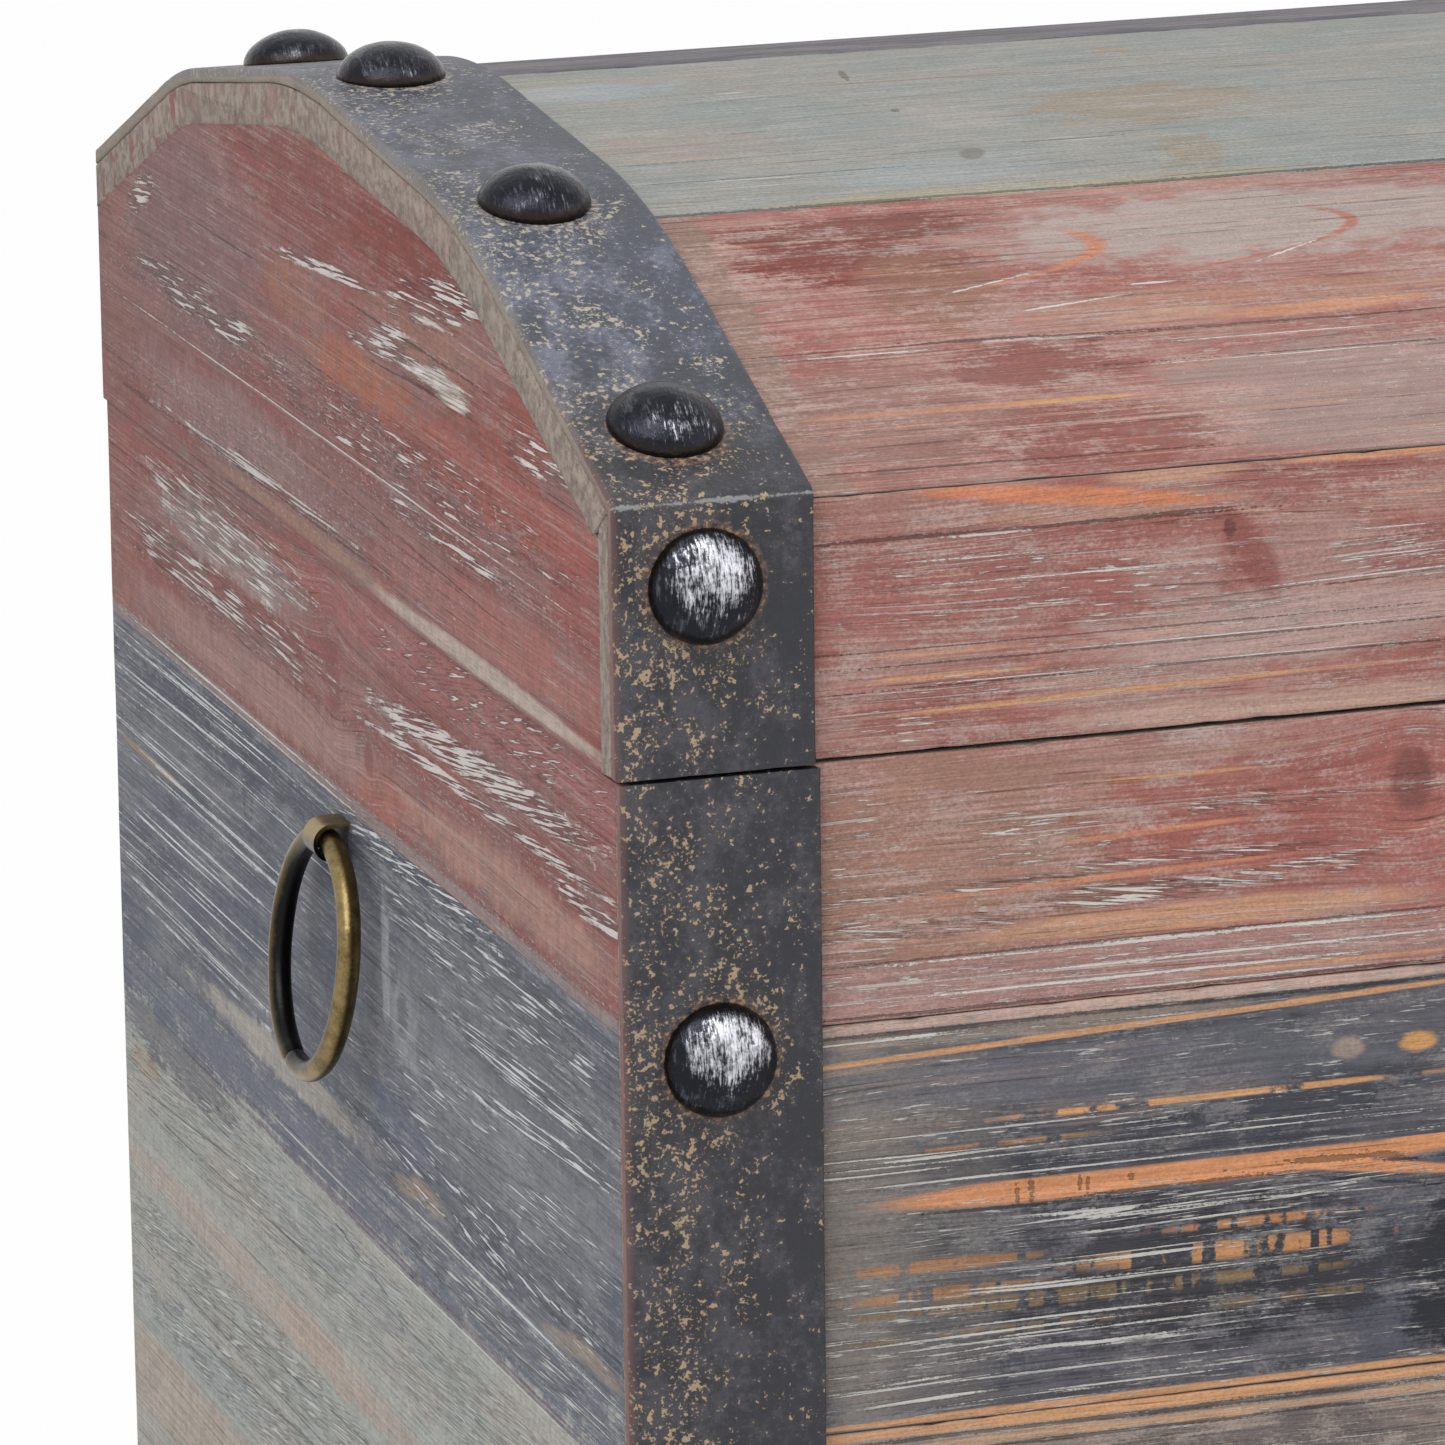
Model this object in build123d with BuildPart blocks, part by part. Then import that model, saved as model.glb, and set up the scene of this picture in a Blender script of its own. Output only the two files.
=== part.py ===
from math import atan2, cos, degrees, hypot, radians, sin

import os

from build123d import *

os.makedirs("parts", exist_ok=True)

# Wooden storage trunk with a domed lid, straps, round-headed nails and ring handles.
# Millimetres, +Z up, front facing -Y. The origin is on the floor under the middle of the whole trunk.

# Overall sizes
trunk_length = 660.0  # across the end boards of the body
wood_depth = 418.0  # from the front planks' face to the back planks' face
body_height = 290.0  # from the floor to the rim
seam_gap = 0.8  # the dark line between the rim and the lid
lid_overhang = 1.0  # how far the lid stands past the body at each end

# Boards
wall_thickness = 12.0
lid_thickness = 10.0  # staves and rails
board_ease = 0.8  # chamfer on the long outer edges, which makes the grooves at the joints
stave_groove = 0.9  # side of the square groove between staves
front_plank_heights = (57.3, 90.6, 80.0)  # from the rim down, the lowest plank takes the rest
end_board_heights = (55.0, 83.7, 50.8, 51.5)
floor_lift = 15.0  # underside of the floor boards above the floor
floor_thickness = 10.0
floor_boards = 3
cleat_width = 15.0
post_size = 20.0
post_drop = 10.0  # top of a corner post below the rim

# Lid outline, on the face of the wood
front_rail_height = 56.6
back_edge_rise = 2.1  # how much higher the dome meets the back than the front
joint_shares = (0.255, 0.556, 0.8)  # where the stave joints lie across the depth
joint_rises = (41.7, 52.4, 36.2)  # height of each joint above the front rail
joint_radii = (200.0, 200.0, 130.0)  # the staves are planed round at their joints
rail_arris = 1.5
strap_crease_radius = 2.5
end_lip = 6.0  # front rail in front of the arched end board

# Straps
strap_width = 44.0
strap_thickness = 3.5
strap_ease = 0.5

# Round-headed nails
nail_diameter = 25.0
nail_dome = 8.0
nail_shank_diameter = 2.6
nail_shank_length = 12.0
nail_fit = 0.05
body_nail_inset = 21.0  # centre of a nail from the outer edge of its strap
lid_nail_inset = 20.0
rail_nail_height = 41.0  # above the seam
arc_nail_shares = (0.063, 0.281, 0.532, 0.717, 0.92)  # along the strap from its crease to its back end
body_nail_drop = 61.0  # highest nail below the rim
body_nail_foot = 24.0  # lowest nail above the floor
body_nails = 3

# Ring handles
ring_outer_diameter = 60.0
ring_wire_diameter = 5.6
ring_split_angle = 12.0  # butt joint of the ring, from its lowest point towards the back
ring_split_gap = 0.3
ring_lean = 7.9  # the ring stands off the board at its foot by this angle
ring_eye_drop = 62.5  # eye below the rim
ring_eye_reach = 4.3  # centre of the ring's wire from the end board
eye_bore_clearance = 0.7
eye_sheet = 1.0
eye_width = 9.0
eye_leg_bend = 9.0  # length of the legs bent over inside
eye_slot_fit = 0.1

# Hinges
hinge_inset = 130.0  # centre of a hinge from the end of the body
hinge_width = 60.0
hinge_leaf_height = 30.0
hinge_leaf_thickness = 2.0
hinge_barrel_diameter = 8.0
hinge_barrel_gap = 0.3  # barrel to the back planks
hinge_pin_diameter = 4.0
hinge_pin_fit = 0.05
hinge_pin_stand = 1.0  # pin past each end of the barrel
knuckle_gap = 0.2
leaf_notch = 0.4  # clearance of a leaf's edge to the other leaf's knuckle
screw_head_diameter = 6.4
screw_shank_diameter = 3.0
screw_length = 9.0
screw_slot_width = 0.8
screw_slot_depth = 0.7
screw_fit = 0.05
screw_margin = 8.0  # from the outer screws to the ends of a leaf
screws_per_leaf = 3
screw_spacing = (hinge_width - 2 * screw_margin) / (screws_per_leaf - 1)
screw_leaf_share = 0.5  # rows of screws, as a share of the leaf's height

# Lid stay: both studs lie at one radius from the hinge pin, so the arm turns by half the lid's angle
stay_radius = 100.0
stay_pivot_angle = 15.0  # above level, seen from the hinge pin
stay_stud_angle = 25.0  # below level
lid_open_angle = 95.0
stay_width = 14.0
stay_thickness = 2.0
stay_slot_clearance = 0.3
stay_slot_margin = 0.5  # slot past the stud at both ends of its travel
stay_end_land = 3.0
stay_pivot_fit = 0.05
stud_diameter = 5.0
stud_head_diameter = 9.0
stud_flange_diameter = 8.0
stud_head_thickness = 1.6
stud_end_play = 0.3
stud_screw_diameter = 4.0
stud_screw_length = 9.0
stay_stand = 3.0  # arm from the lid's end board


def save(piece, label):
    """Names a finished piece and writes it."""
    piece.label = label
    export_step(piece, f"parts/{label}.step")


# Places that several pieces share
half_length = trunk_length / 2
strap_stand = strap_thickness + nail_dome  # from the front planks' face to the top of a nail
barrel_stand = hinge_barrel_gap + hinge_barrel_diameter  # from the back planks' face to the barrel's far side
front_y = strap_stand - (strap_stand + wood_depth + barrel_stand) / 2
back_y = front_y + wood_depth
middle_y = (front_y - strap_thickness + back_y) / 2
lid_z = body_height + seam_gap
lid_half = half_length + lid_overhang
inner_half = half_length - wall_thickness
floor_top = floor_lift + floor_thickness
strap_face_y = front_y - strap_thickness


def board(x_range, y_range, z_range):
    """A plain board between three pairs of limits."""
    with BuildPart() as plank:
        with BuildSketch(Plane.XY.offset(z_range[0])):
            with Locations((sum(x_range) / 2, sum(y_range) / 2)):
                Rectangle(x_range[1] - x_range[0], y_range[1] - y_range[0])
        extrude(amount=z_range[1] - z_range[0])
    return plank.part


def courses(heights):
    """Bottom and top of each course of boards, from the rim down to the floor."""
    tops = [body_height]
    for height in heights:
        tops.append(tops[-1] - height)
    return list(zip(tops[1:] + [0.0], tops))


def offset_chain(points, distances):
    """Corners of a chain of lines, each line moved outwards by its own distance.

    The chain runs from the front foot over the dome to the back foot, so outwards is to its left."""
    moved = []
    for (y0, z0), (y1, z1), distance in zip(points, points[1:], distances):
        length = hypot(y1 - y0, z1 - z0)
        shift_y = -(z1 - z0) / length * distance
        shift_z = (y1 - y0) / length * distance
        moved.append(((y0 + shift_y, z0 + shift_z), (y1 + shift_y, z1 + shift_z)))
    corners = [moved[0][0]]
    for (a, b), (c, d) in zip(moved, moved[1:]):
        det = (b[0] - a[0]) * (d[1] - c[1]) - (b[1] - a[1]) * (d[0] - c[0])
        share = ((c[0] - a[0]) * (d[1] - c[1]) - (c[1] - a[1]) * (d[0] - c[0])) / det
        corners.append((a[0] + share * (b[0] - a[0]), a[1] + share * (b[1] - a[1])))
    corners.append(moved[-1][1])
    return corners


# Corners of the lid's wood, from the front foot over the dome to the back foot
rail_top = lid_z + front_rail_height
joints = [
    (front_y + share * wood_depth, rail_top + rise)
    for share, rise in zip(joint_shares, joint_rises)
]
lid_chain = [
    (front_y, lid_z),
    (front_y, rail_top),
    *joints,
    (back_y, rail_top + back_edge_rise),
    (back_y, lid_z),
]
sides = len(lid_chain) - 1


def dome_outline(distances, crease_radius=0.0):
    """Closed outline of the dome with each side moved outwards by its own distance."""
    corners = offset_chain(lid_chain, distances)
    radii = [crease_radius]
    radii += [radius + distances[1] for radius in joint_radii]
    radii += [0.0]
    with BuildSketch() as outline:
        with BuildLine():
            FilletPolyline(*corners, radius=radii)
            Line(corners[-1], corners[0])
        make_face()
    return outline.sketch


wood_face = dome_outline([0.0] * sides, rail_arris)
strap_face = dome_outline([strap_thickness] * (sides - 1) + [0.0], strap_crease_radius)
hollow_face = dome_outline([-lid_thickness] * sides)
under_face = dome_outline([-lid_thickness] * (sides - 1) + [0.0])
arch_face = dome_outline([-end_lip] + [-lid_thickness] * (sides - 2) + [0.0])


def lid_piece(region, x_from, x_to, base, hollow, trims=()):
    """A length of the lid's section inside a region of the YZ plane, less the trims."""
    with BuildPart() as piece:
        with BuildSketch(Plane.YZ.offset(x_from)):
            add(base)
            add(hollow, mode=Mode.SUBTRACT)
            with BuildLine():
                Polyline(*region, close=True)
            make_face(mode=Mode.INTERSECT)
        extrude(amount=x_to - x_from)
        for trim in trims:
            add(trim, mode=Mode.SUBTRACT)
    return piece.part


# Nails: one dome with a shank, standing on the XY plane
nail_sphere = (nail_dome**2 + (nail_diameter / 2) ** 2) / (2 * nail_dome)
with BuildPart() as nail:
    with BuildSketch(Plane.XZ):
        with BuildLine():
            Line((0, nail_dome), (0, -nail_shank_length))
            Line((0, -nail_shank_length), (nail_shank_diameter / 2, -nail_shank_length))
            Line((nail_shank_diameter / 2, -nail_shank_length), (nail_shank_diameter / 2, 0))
            Line((nail_shank_diameter / 2, 0), (nail_diameter / 2, 0))
            RadiusArc((nail_diameter / 2, 0), (0, nail_dome), -nail_sphere)
        make_face()
    revolve(axis=Axis.Z)

with BuildPart() as nail_hole:
    with BuildSketch(Plane.XY.offset(nail_dome)):
        Circle(nail_shank_diameter / 2 + nail_fit)
    extrude(amount=-nail_dome - nail_shank_length - nail_fit)

body_nail_x = half_length - body_nail_inset
lid_nail_x = lid_half - lid_nail_inset
nail_step = (body_height - body_nail_drop - body_nail_foot) / (body_nails - 1)
body_nail_heights = [body_nail_foot + n * nail_step for n in range(body_nails)]
body_nail_places = [
    Plane((-body_nail_x, strap_face_y, height), x_dir=(1, 0, 0), z_dir=(0, -1, 0))
    for height in body_nail_heights
]

# The strap's outer face over the dome, from its crease at the front to its back end
strap_corners = offset_chain(lid_chain, [strap_thickness] * (sides - 1) + [0.0])
with BuildLine(Plane.YZ) as strap_path:
    FilletPolyline(*strap_corners[1:-1], radius=[radius + strap_thickness for radius in joint_radii])
strap_wire = strap_path.wire()


def dome_nail_place(share):
    """Plane on the strap's outer face, facing outwards, at a share of the way to its back end."""
    reach = share * strap_wire.length
    point = strap_wire.position_at(reach, position_mode=PositionMode.LENGTH)
    along = strap_wire.tangent_at(reach, position_mode=PositionMode.LENGTH)
    return Plane((-lid_nail_x, point.Y, point.Z), x_dir=(1, 0, 0), z_dir=(0, -along.Z, along.Y))


rail_nail_place = Plane(
    (-lid_nail_x, strap_face_y, body_height + rail_nail_height), x_dir=(1, 0, 0), z_dir=(0, -1, 0)
)
lid_nail_places = [rail_nail_place] + [dome_nail_place(share) for share in arc_nail_shares]


def both_ends(piece):
    """A piece on the left together with its mirror image on the right."""
    with BuildPart() as pair:
        add(piece)
        mirror(piece, about=Plane.YZ)
    return pair.part


def placed(piece, places):
    """Copies of a piece, one on each place."""
    with BuildPart() as group:
        with Locations(*places):
            add(piece)
    return group.part


body_nails_left = placed(nail.part, body_nail_places)
lid_nails_left = placed(nail.part, lid_nail_places)
body_nail_holes = both_ends(placed(nail_hole.part, body_nail_places))
lid_nail_holes = both_ends(placed(nail_hole.part, lid_nail_places))

# Hinge screws: countersunk and slotted, standing on the XY plane
with BuildPart() as screw:
    with BuildSketch(Plane.XZ):
        with BuildLine():
            Polyline(
                (0, 0),
                (screw_head_diameter / 2, 0),
                (screw_shank_diameter / 2, -hinge_leaf_thickness),
                (screw_shank_diameter / 2, screw_shank_diameter - screw_length),
                (0, -screw_length),
                close=True,
            )
        make_face()
    revolve(axis=Axis.Z)
    with BuildSketch():
        Rectangle(screw_head_diameter * 2, screw_slot_width)
    extrude(amount=-screw_slot_depth, mode=Mode.SUBTRACT)

with BuildPart() as screw_hole:
    with BuildSketch(Plane.XZ):
        with BuildLine():
            Polyline(
                (0, 0),
                (screw_head_diameter / 2 + screw_fit, 0),
                (screw_shank_diameter / 2 + screw_fit, -hinge_leaf_thickness),
                (screw_shank_diameter / 2 + screw_fit, -screw_length - screw_fit),
                (0, -screw_length - screw_fit),
                close=True,
            )
        make_face()
    revolve(axis=Axis.Z)

hinge_x = half_length - hinge_inset
hinge_z = body_height + seam_gap / 2
hinge_y = back_y + hinge_barrel_gap + hinge_barrel_diameter / 2
leaf_face_y = back_y + hinge_leaf_thickness


def screw_places(side):
    """Places of the screws of both hinges' leaves, below the pin (side -1) or above it (side 1)."""
    height = hinge_z + side * hinge_leaf_height * (1 + screw_leaf_share) / 2
    return [
        Plane((centre + n * screw_spacing, leaf_face_y, height), x_dir=(1, 0, 0), z_dir=(0, 1, 0))
        for centre in (-hinge_x, hinge_x)
        for n in (index - (screws_per_leaf - 1) / 2 for index in range(screws_per_leaf))
    ]


body_screw_holes = placed(screw_hole.part, screw_places(-1))
lid_screw_holes = placed(screw_hole.part, screw_places(1))

# Lid stay places, measured from the hinge pin
pivot_y = hinge_y - stay_radius * cos(radians(stay_pivot_angle))
pivot_z = hinge_z + stay_radius * sin(radians(stay_pivot_angle))
stud_y = hinge_y - stay_radius * cos(radians(stay_stud_angle))
stud_z = hinge_z - stay_radius * sin(radians(stay_stud_angle))
stay_x = -lid_half + wall_thickness + stay_stand  # the arm's face beside the end boards

# Body: end boards, which cover the ends of the front and back planks
eye_z = body_height - ring_eye_drop
eye_bore = ring_wire_diameter / 2 + eye_bore_clearance
eye_loop = 2 * (eye_bore + eye_sheet)
eye_x = -half_length - ring_eye_reach

with BuildPart() as eye_slots:
    with BuildSketch(Plane.YZ.offset(-half_length)):
        with Locations((middle_y, eye_z)):
            with GridLocations(1, 2 * eye_bore + eye_sheet, 1, 2):
                Rectangle(eye_width + 2 * eye_slot_fit, eye_sheet + 2 * eye_slot_fit)
    extrude(amount=wall_thickness)

with BuildPart() as stay_holes:
    for board_x, y, z in (
        (-inner_half, stud_y, stud_z),
        (-lid_half + wall_thickness, pivot_y, pivot_z),
    ):
        with BuildSketch(Plane.YZ.offset(board_x)):
            with Locations((y, z)):
                Circle(stud_screw_diameter / 2 + screw_fit)
        extrude(amount=-stud_screw_length - screw_fit)

for number, (low, high) in enumerate(courses(end_board_heights), start=1):
    with BuildPart() as end_board:
        add(board((-half_length, -inner_half), (front_y, back_y), (low, high)))
        chamfer(end_board.edges().filter_by(Axis.Y).group_by(Axis.X)[0], board_ease)
        add(eye_slots.part, mode=Mode.SUBTRACT)
    with BuildPart() as left_board:
        add(end_board.part)
        add(stay_holes.part, mode=Mode.SUBTRACT)
    with BuildPart() as right_board:
        mirror(end_board.part, about=Plane.YZ)
    save(left_board.part, f"end_left_board_{number}")
    save(right_board.part, f"end_right_board_{number}")

# Body: front and back planks
for number, (low, high) in enumerate(courses(front_plank_heights), start=1):
    with BuildPart() as front_plank:
        add(board((-inner_half, inner_half), (front_y, front_y + wall_thickness), (low, high)))
        chamfer(front_plank.edges().filter_by(Axis.X).group_by(Axis.Y)[0], board_ease)
        add(body_nail_holes, mode=Mode.SUBTRACT)
    with BuildPart() as back_plank:
        add(board((-inner_half, inner_half), (back_y - wall_thickness, back_y), (low, high)))
        chamfer(back_plank.edges().filter_by(Axis.X).group_by(Axis.Y)[-1], board_ease)
        add(body_screw_holes, mode=Mode.SUBTRACT)
    save(front_plank.part, f"front_plank_{number}")
    save(back_plank.part, f"back_plank_{number}")

# Body: floor boards on two cleats, and posts in the corners
inner_front_y = front_y + wall_thickness
inner_back_y = back_y - wall_thickness
floor_board_width = (inner_back_y - inner_front_y) / floor_boards
for number in range(floor_boards):
    start_y = inner_front_y + number * floor_board_width
    floor_board = board(
        (-inner_half, inner_half), (start_y, start_y + floor_board_width), (floor_lift, floor_top)
    )
    save(floor_board, f"floor_board_{number + 1}")

cleat_front = board(
    (-inner_half, inner_half), (inner_front_y, inner_front_y + cleat_width), (0.0, floor_lift)
)
cleat_back = board(
    (-inner_half, inner_half), (inner_back_y - cleat_width, inner_back_y), (0.0, floor_lift)
)
save(cleat_front, "floor_cleat_front")
save(cleat_back, "floor_cleat_back")

post_z = (floor_top, body_height - post_drop)
for depth_name, post_y in (
    ("front", (inner_front_y, inner_front_y + post_size)),
    ("back", (inner_back_y - post_size, inner_back_y)),
):
    post = board((-inner_half, -inner_half + post_size), post_y, post_z)
    with BuildPart() as post_right:
        mirror(post, about=Plane.YZ)
    save(post, f"corner_post_{depth_name}_left")
    save(post_right.part, f"corner_post_{depth_name}_right")

# Body: corner straps on the front and their nails
with BuildPart() as body_strap:
    add(board((-half_length, strap_width - half_length), (strap_face_y, front_y), (0.0, body_height)))
    chamfer(body_strap.edges().filter_by(Axis.Z).group_by(Axis.Y)[0], strap_ease)
    add(body_nail_holes, mode=Mode.SUBTRACT)
with BuildPart() as body_strap_right:
    mirror(body_strap.part, about=Plane.YZ)
with BuildPart() as body_nails_right:
    mirror(body_nails_left, about=Plane.YZ)
save(body_strap.part, "body_strap_left")
save(body_strap_right.part, "body_strap_right")
save(body_nails_left, "body_nails_left")
save(body_nails_right.part, "body_nails_right")

# Ring eye: a sheet loop round the ring's wire, with two legs through the end board, bent over inside
with BuildPart() as ring_eye:
    with BuildSketch(Plane.XZ.offset(-middle_y)):
        with Locations((eye_x, eye_z)):
            Circle(eye_bore + eye_sheet)
            Circle(eye_bore, mode=Mode.SUBTRACT)
            Rectangle(eye_loop, eye_loop, align=(Align.MIN, Align.CENTER), mode=Mode.SUBTRACT)
            with GridLocations(1, 2 * eye_bore + eye_sheet, 1, 2):
                Rectangle(
                    ring_eye_reach + wall_thickness + eye_sheet,
                    eye_sheet,
                    align=(Align.MIN, Align.CENTER),
                )
        for turn in (-1, 1):
            with Locations((-inner_half + eye_sheet / 2, eye_z + turn * (eye_bore + eye_leg_bend / 2))):
                Rectangle(eye_sheet, eye_leg_bend)
    extrude(amount=eye_width / 2, both=True)
with BuildPart() as ring_eye_right:
    mirror(ring_eye.part, about=Plane.YZ)
save(ring_eye.part, "ring_eye_left")
save(ring_eye_right.part, "ring_eye_right")

# Ring handle: hangs in its eye, with its foot standing off the board
ring_radius = (ring_outer_diameter - ring_wire_diameter) / 2
lean = radians(ring_lean)
ring_centre = (eye_x - ring_radius * sin(lean), middle_y, eye_z - ring_radius * cos(lean))
ring_plane = Plane(ring_centre, x_dir=(0, 1, 0), z_dir=(-cos(lean), 0, sin(lean)))
half_split = degrees(ring_split_gap / 2 / ring_radius)
with BuildPart() as ring:
    with BuildLine(ring_plane):
        start_angle = 90 - ring_split_angle + half_split
        bend = CenterArc((0, 0), ring_radius, start_angle, 360 - 2 * half_split)
    with BuildSketch(Plane(bend @ 0, z_dir=bend % 0)):
        Circle(ring_wire_diameter / 2)
    sweep()
with BuildPart() as ring_right:
    mirror(ring.part, about=Plane.YZ)
save(ring.part, "ring_handle_left")
save(ring_right.part, "ring_handle_right")

# Lid: arched end boards
with BuildPart() as lid_end:
    with BuildSketch(Plane.YZ.offset(-lid_half)):
        add(arch_face)
    extrude(amount=wall_thickness)
    chamfer(lid_end.edges().filter_by(Axis.Y).group_by(Axis.X)[0], board_ease)
with BuildPart() as lid_end_left:
    add(lid_end.part)
    add(stay_holes.part, mode=Mode.SUBTRACT)
with BuildPart() as lid_end_right:
    mirror(lid_end.part, about=Plane.YZ)
save(lid_end_left.part, "lid_end_left")
save(lid_end_right.part, "lid_end_right")

# Lid: staves and rails, mitred at the joints and cut from one section
outer_chain = offset_chain(lid_chain, [2 * lid_thickness] * (sides - 1) + [0.0])
inner_chain = offset_chain(lid_chain, [-1.5 * lid_thickness] * (sides - 1) + [0.0])
unit_chain = offset_chain(lid_chain, [-1.0] * sides)


def crest(number):
    """Where the rounded joint at a corner of the outline meets its mitre."""
    y, z = lid_chain[number]
    inwards_y = unit_chain[number][0] - y
    inwards_z = unit_chain[number][1] - z
    mitre = hypot(inwards_y, inwards_z)
    depth = joint_radii[number - 2] * (mitre - 1) / mitre
    return (y + inwards_y * depth, z + inwards_z * depth)


with BuildPart() as grooves:
    with BuildSketch(Plane.YZ.offset(-lid_half)):
        with Locations(*[crest(number) for number in range(2, sides - 1)]):
            Rectangle(stave_groove, stave_groove, rotation=45)
    extrude(amount=2 * lid_half)

for number in range(1, sides - 1):
    region = [outer_chain[number], outer_chain[number + 1], inner_chain[number + 1], inner_chain[number]]
    stave = lid_piece(region, -lid_half, lid_half, wood_face, under_face, [lid_nail_holes, grooves.part])
    save(stave, f"lid_stave_{number}")

with BuildPart() as front_rail:
    region = [
        (outer_chain[0][0], lid_z),
        outer_chain[1],
        inner_chain[1],
        (inner_chain[0][0], lid_z),
    ]
    add(lid_piece(region, -lid_half, lid_half, wood_face, hollow_face, [lid_nail_holes]))
    add(lid_end.part, mode=Mode.SUBTRACT)
    add(lid_end_right.part, mode=Mode.SUBTRACT)
    chamfer(front_rail.edges().filter_by(Axis.X).group_by(Axis.Z)[0].sort_by(Axis.Y)[0], board_ease)
save(front_rail.part, "lid_front_rail")

with BuildPart() as back_rail:
    region = [
        (back_y - lid_thickness, lid_z),
        (back_y - lid_thickness, rail_top),
        (back_y, rail_top),
        (back_y, lid_z),
    ]
    lid_inner = lid_half - wall_thickness
    add(lid_piece(region, -lid_inner, lid_inner, under_face, hollow_face, [lid_screw_holes]))
save(back_rail.part, "lid_back_rail")

# Lid: straps over the staves and down the front rail, and their nails
with BuildPart() as lid_strap:
    with BuildSketch(Plane.YZ.offset(-lid_half)):
        add(strap_face)
    extrude(amount=strap_width)
    outer_edges = [
        edge
        for edge in lid_strap.faces().filter_by(Axis.X).edges()
        if edge.center().Y < back_y - strap_ease and edge.center().Z > lid_z + strap_ease
    ]
    chamfer(outer_edges, strap_ease)
    with BuildSketch(Plane.YZ.offset(-lid_half)):
        add(wood_face)
    extrude(amount=strap_width, mode=Mode.SUBTRACT)
    add(lid_nail_holes, mode=Mode.SUBTRACT)
with BuildPart() as lid_strap_right:
    mirror(lid_strap.part, about=Plane.YZ)
with BuildPart() as lid_nails_right:
    mirror(lid_nails_left, about=Plane.YZ)
save(lid_strap.part, "lid_strap_left")
save(lid_strap_right.part, "lid_strap_right")
save(lid_nails_left, "lid_nails_left")
save(lid_nails_right.part, "lid_nails_right")

# Hinges
knuckle = hinge_width / 3
leaf_edge = hinge_barrel_diameter / 2 + leaf_notch


def hinge_leaf(side, knuckles, holes):
    """The left hinge's leaf with its knuckles: side is -1 on the body and 1 on the lid."""
    with BuildPart() as leaf:
        with BuildSketch(Plane.XZ.offset(-back_y)):
            with Locations((-hinge_x, hinge_z + side * (hinge_leaf_height + leaf_edge) / 2)):
                Rectangle(hinge_width, hinge_leaf_height - leaf_edge)
            for step in knuckles:
                with Locations((step * knuckle - hinge_x, hinge_z + side * leaf_edge / 2)):
                    Rectangle(knuckle - knuckle_gap, leaf_edge)
        extrude(amount=-hinge_leaf_thickness)
        for step in knuckles:
            with BuildSketch(Plane.YZ.offset(step * knuckle - hinge_x)):
                with Locations((hinge_y, hinge_z)):
                    Circle(hinge_barrel_diameter / 2)
            extrude(amount=(knuckle - knuckle_gap) / 2, both=True)
        with BuildSketch(Plane.YZ.offset(-hinge_x)):
            with Locations((hinge_y, hinge_z)):
                Circle(hinge_pin_diameter / 2 + hinge_pin_fit)
        extrude(amount=hinge_width, both=True, mode=Mode.SUBTRACT)
        add(holes, mode=Mode.SUBTRACT)
    return leaf.part


with BuildPart() as hinge_pin:
    with BuildSketch(Plane.YZ.offset(-hinge_x)):
        with Locations((hinge_y, hinge_z)):
            Circle(hinge_pin_diameter / 2)
    extrude(amount=hinge_width / 2 + hinge_pin_stand, both=True)

hinge_pieces = {
    "hinge_body_leaf": hinge_leaf(-1, (-1, 1), body_screw_holes),
    "hinge_lid_leaf": hinge_leaf(1, (0,), lid_screw_holes),
    "hinge_pin": hinge_pin.part,
}
for name, piece in hinge_pieces.items():
    with BuildPart() as piece_right:
        mirror(piece, about=Plane.YZ)
    save(piece, f"{name}_left")
    save(piece_right.part, f"{name}_right")
save(placed(screw.part, screw_places(-1)), "hinge_body_screws")
save(placed(screw.part, screw_places(1)), "hinge_lid_screws")


# Lid stay: two shoulder screws and a slotted arm
def shoulder_screw(board_x, y, z):
    """A screw through the arm into an end board's inner face at board_x."""
    half_play = stud_end_play / 2
    stations = [
        (stud_screw_diameter, board_x - stud_screw_length, board_x),
        (stud_flange_diameter, board_x, stay_x - half_play),
        (stud_diameter, stay_x - half_play, stay_x + stay_thickness + half_play),
        (
            stud_head_diameter,
            stay_x + stay_thickness + half_play,
            stay_x + stay_thickness + half_play + stud_head_thickness,
        ),
    ]
    with BuildPart() as stud:
        for diameter, x_from, x_to in stations:
            with BuildSketch(Plane.YZ.offset(x_from)):
                with Locations((y, z)):
                    Circle(diameter / 2)
            extrude(amount=x_to - x_from)
        with BuildSketch(Plane.YZ.offset(stations[-1][2])):
            with Locations((y, z)):
                Rectangle(stud_head_diameter, screw_slot_width)
        extrude(amount=-screw_slot_depth, mode=Mode.SUBTRACT)
    return stud.part


save(shoulder_screw(-inner_half, stud_y, stud_z), "lid_stay_stud")
save(shoulder_screw(-lid_half + wall_thickness, pivot_y, pivot_z), "lid_stay_pivot")

half_turn = radians(stay_pivot_angle + stay_stud_angle) / 2
near_travel = 2 * stay_radius * sin(half_turn) - stay_slot_margin
far_travel = 2 * stay_radius * sin(half_turn + radians(lid_open_angle) / 2) + stay_slot_margin
stay_angle = atan2(stud_z - pivot_z, stud_y - pivot_y)
stay_plane = Plane(
    (stay_x, pivot_y, pivot_z), x_dir=(0, cos(stay_angle), sin(stay_angle)), z_dir=(1, 0, 0)
)
with BuildPart() as stay_arm:
    with BuildSketch(stay_plane):
        with Locations(((far_travel + stay_end_land) / 2, 0)):
            SlotCenterToCenter(far_travel + stay_end_land, stay_width)
        Circle(stud_diameter / 2 + stay_pivot_fit, mode=Mode.SUBTRACT)
        with Locations(((near_travel + far_travel) / 2, 0)):
            SlotCenterToCenter(
                far_travel - near_travel, stud_diameter + 2 * stay_slot_clearance, mode=Mode.SUBTRACT
            )
    extrude(amount=stay_thickness)
save(stay_arm.part, "lid_stay_arm")
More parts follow.
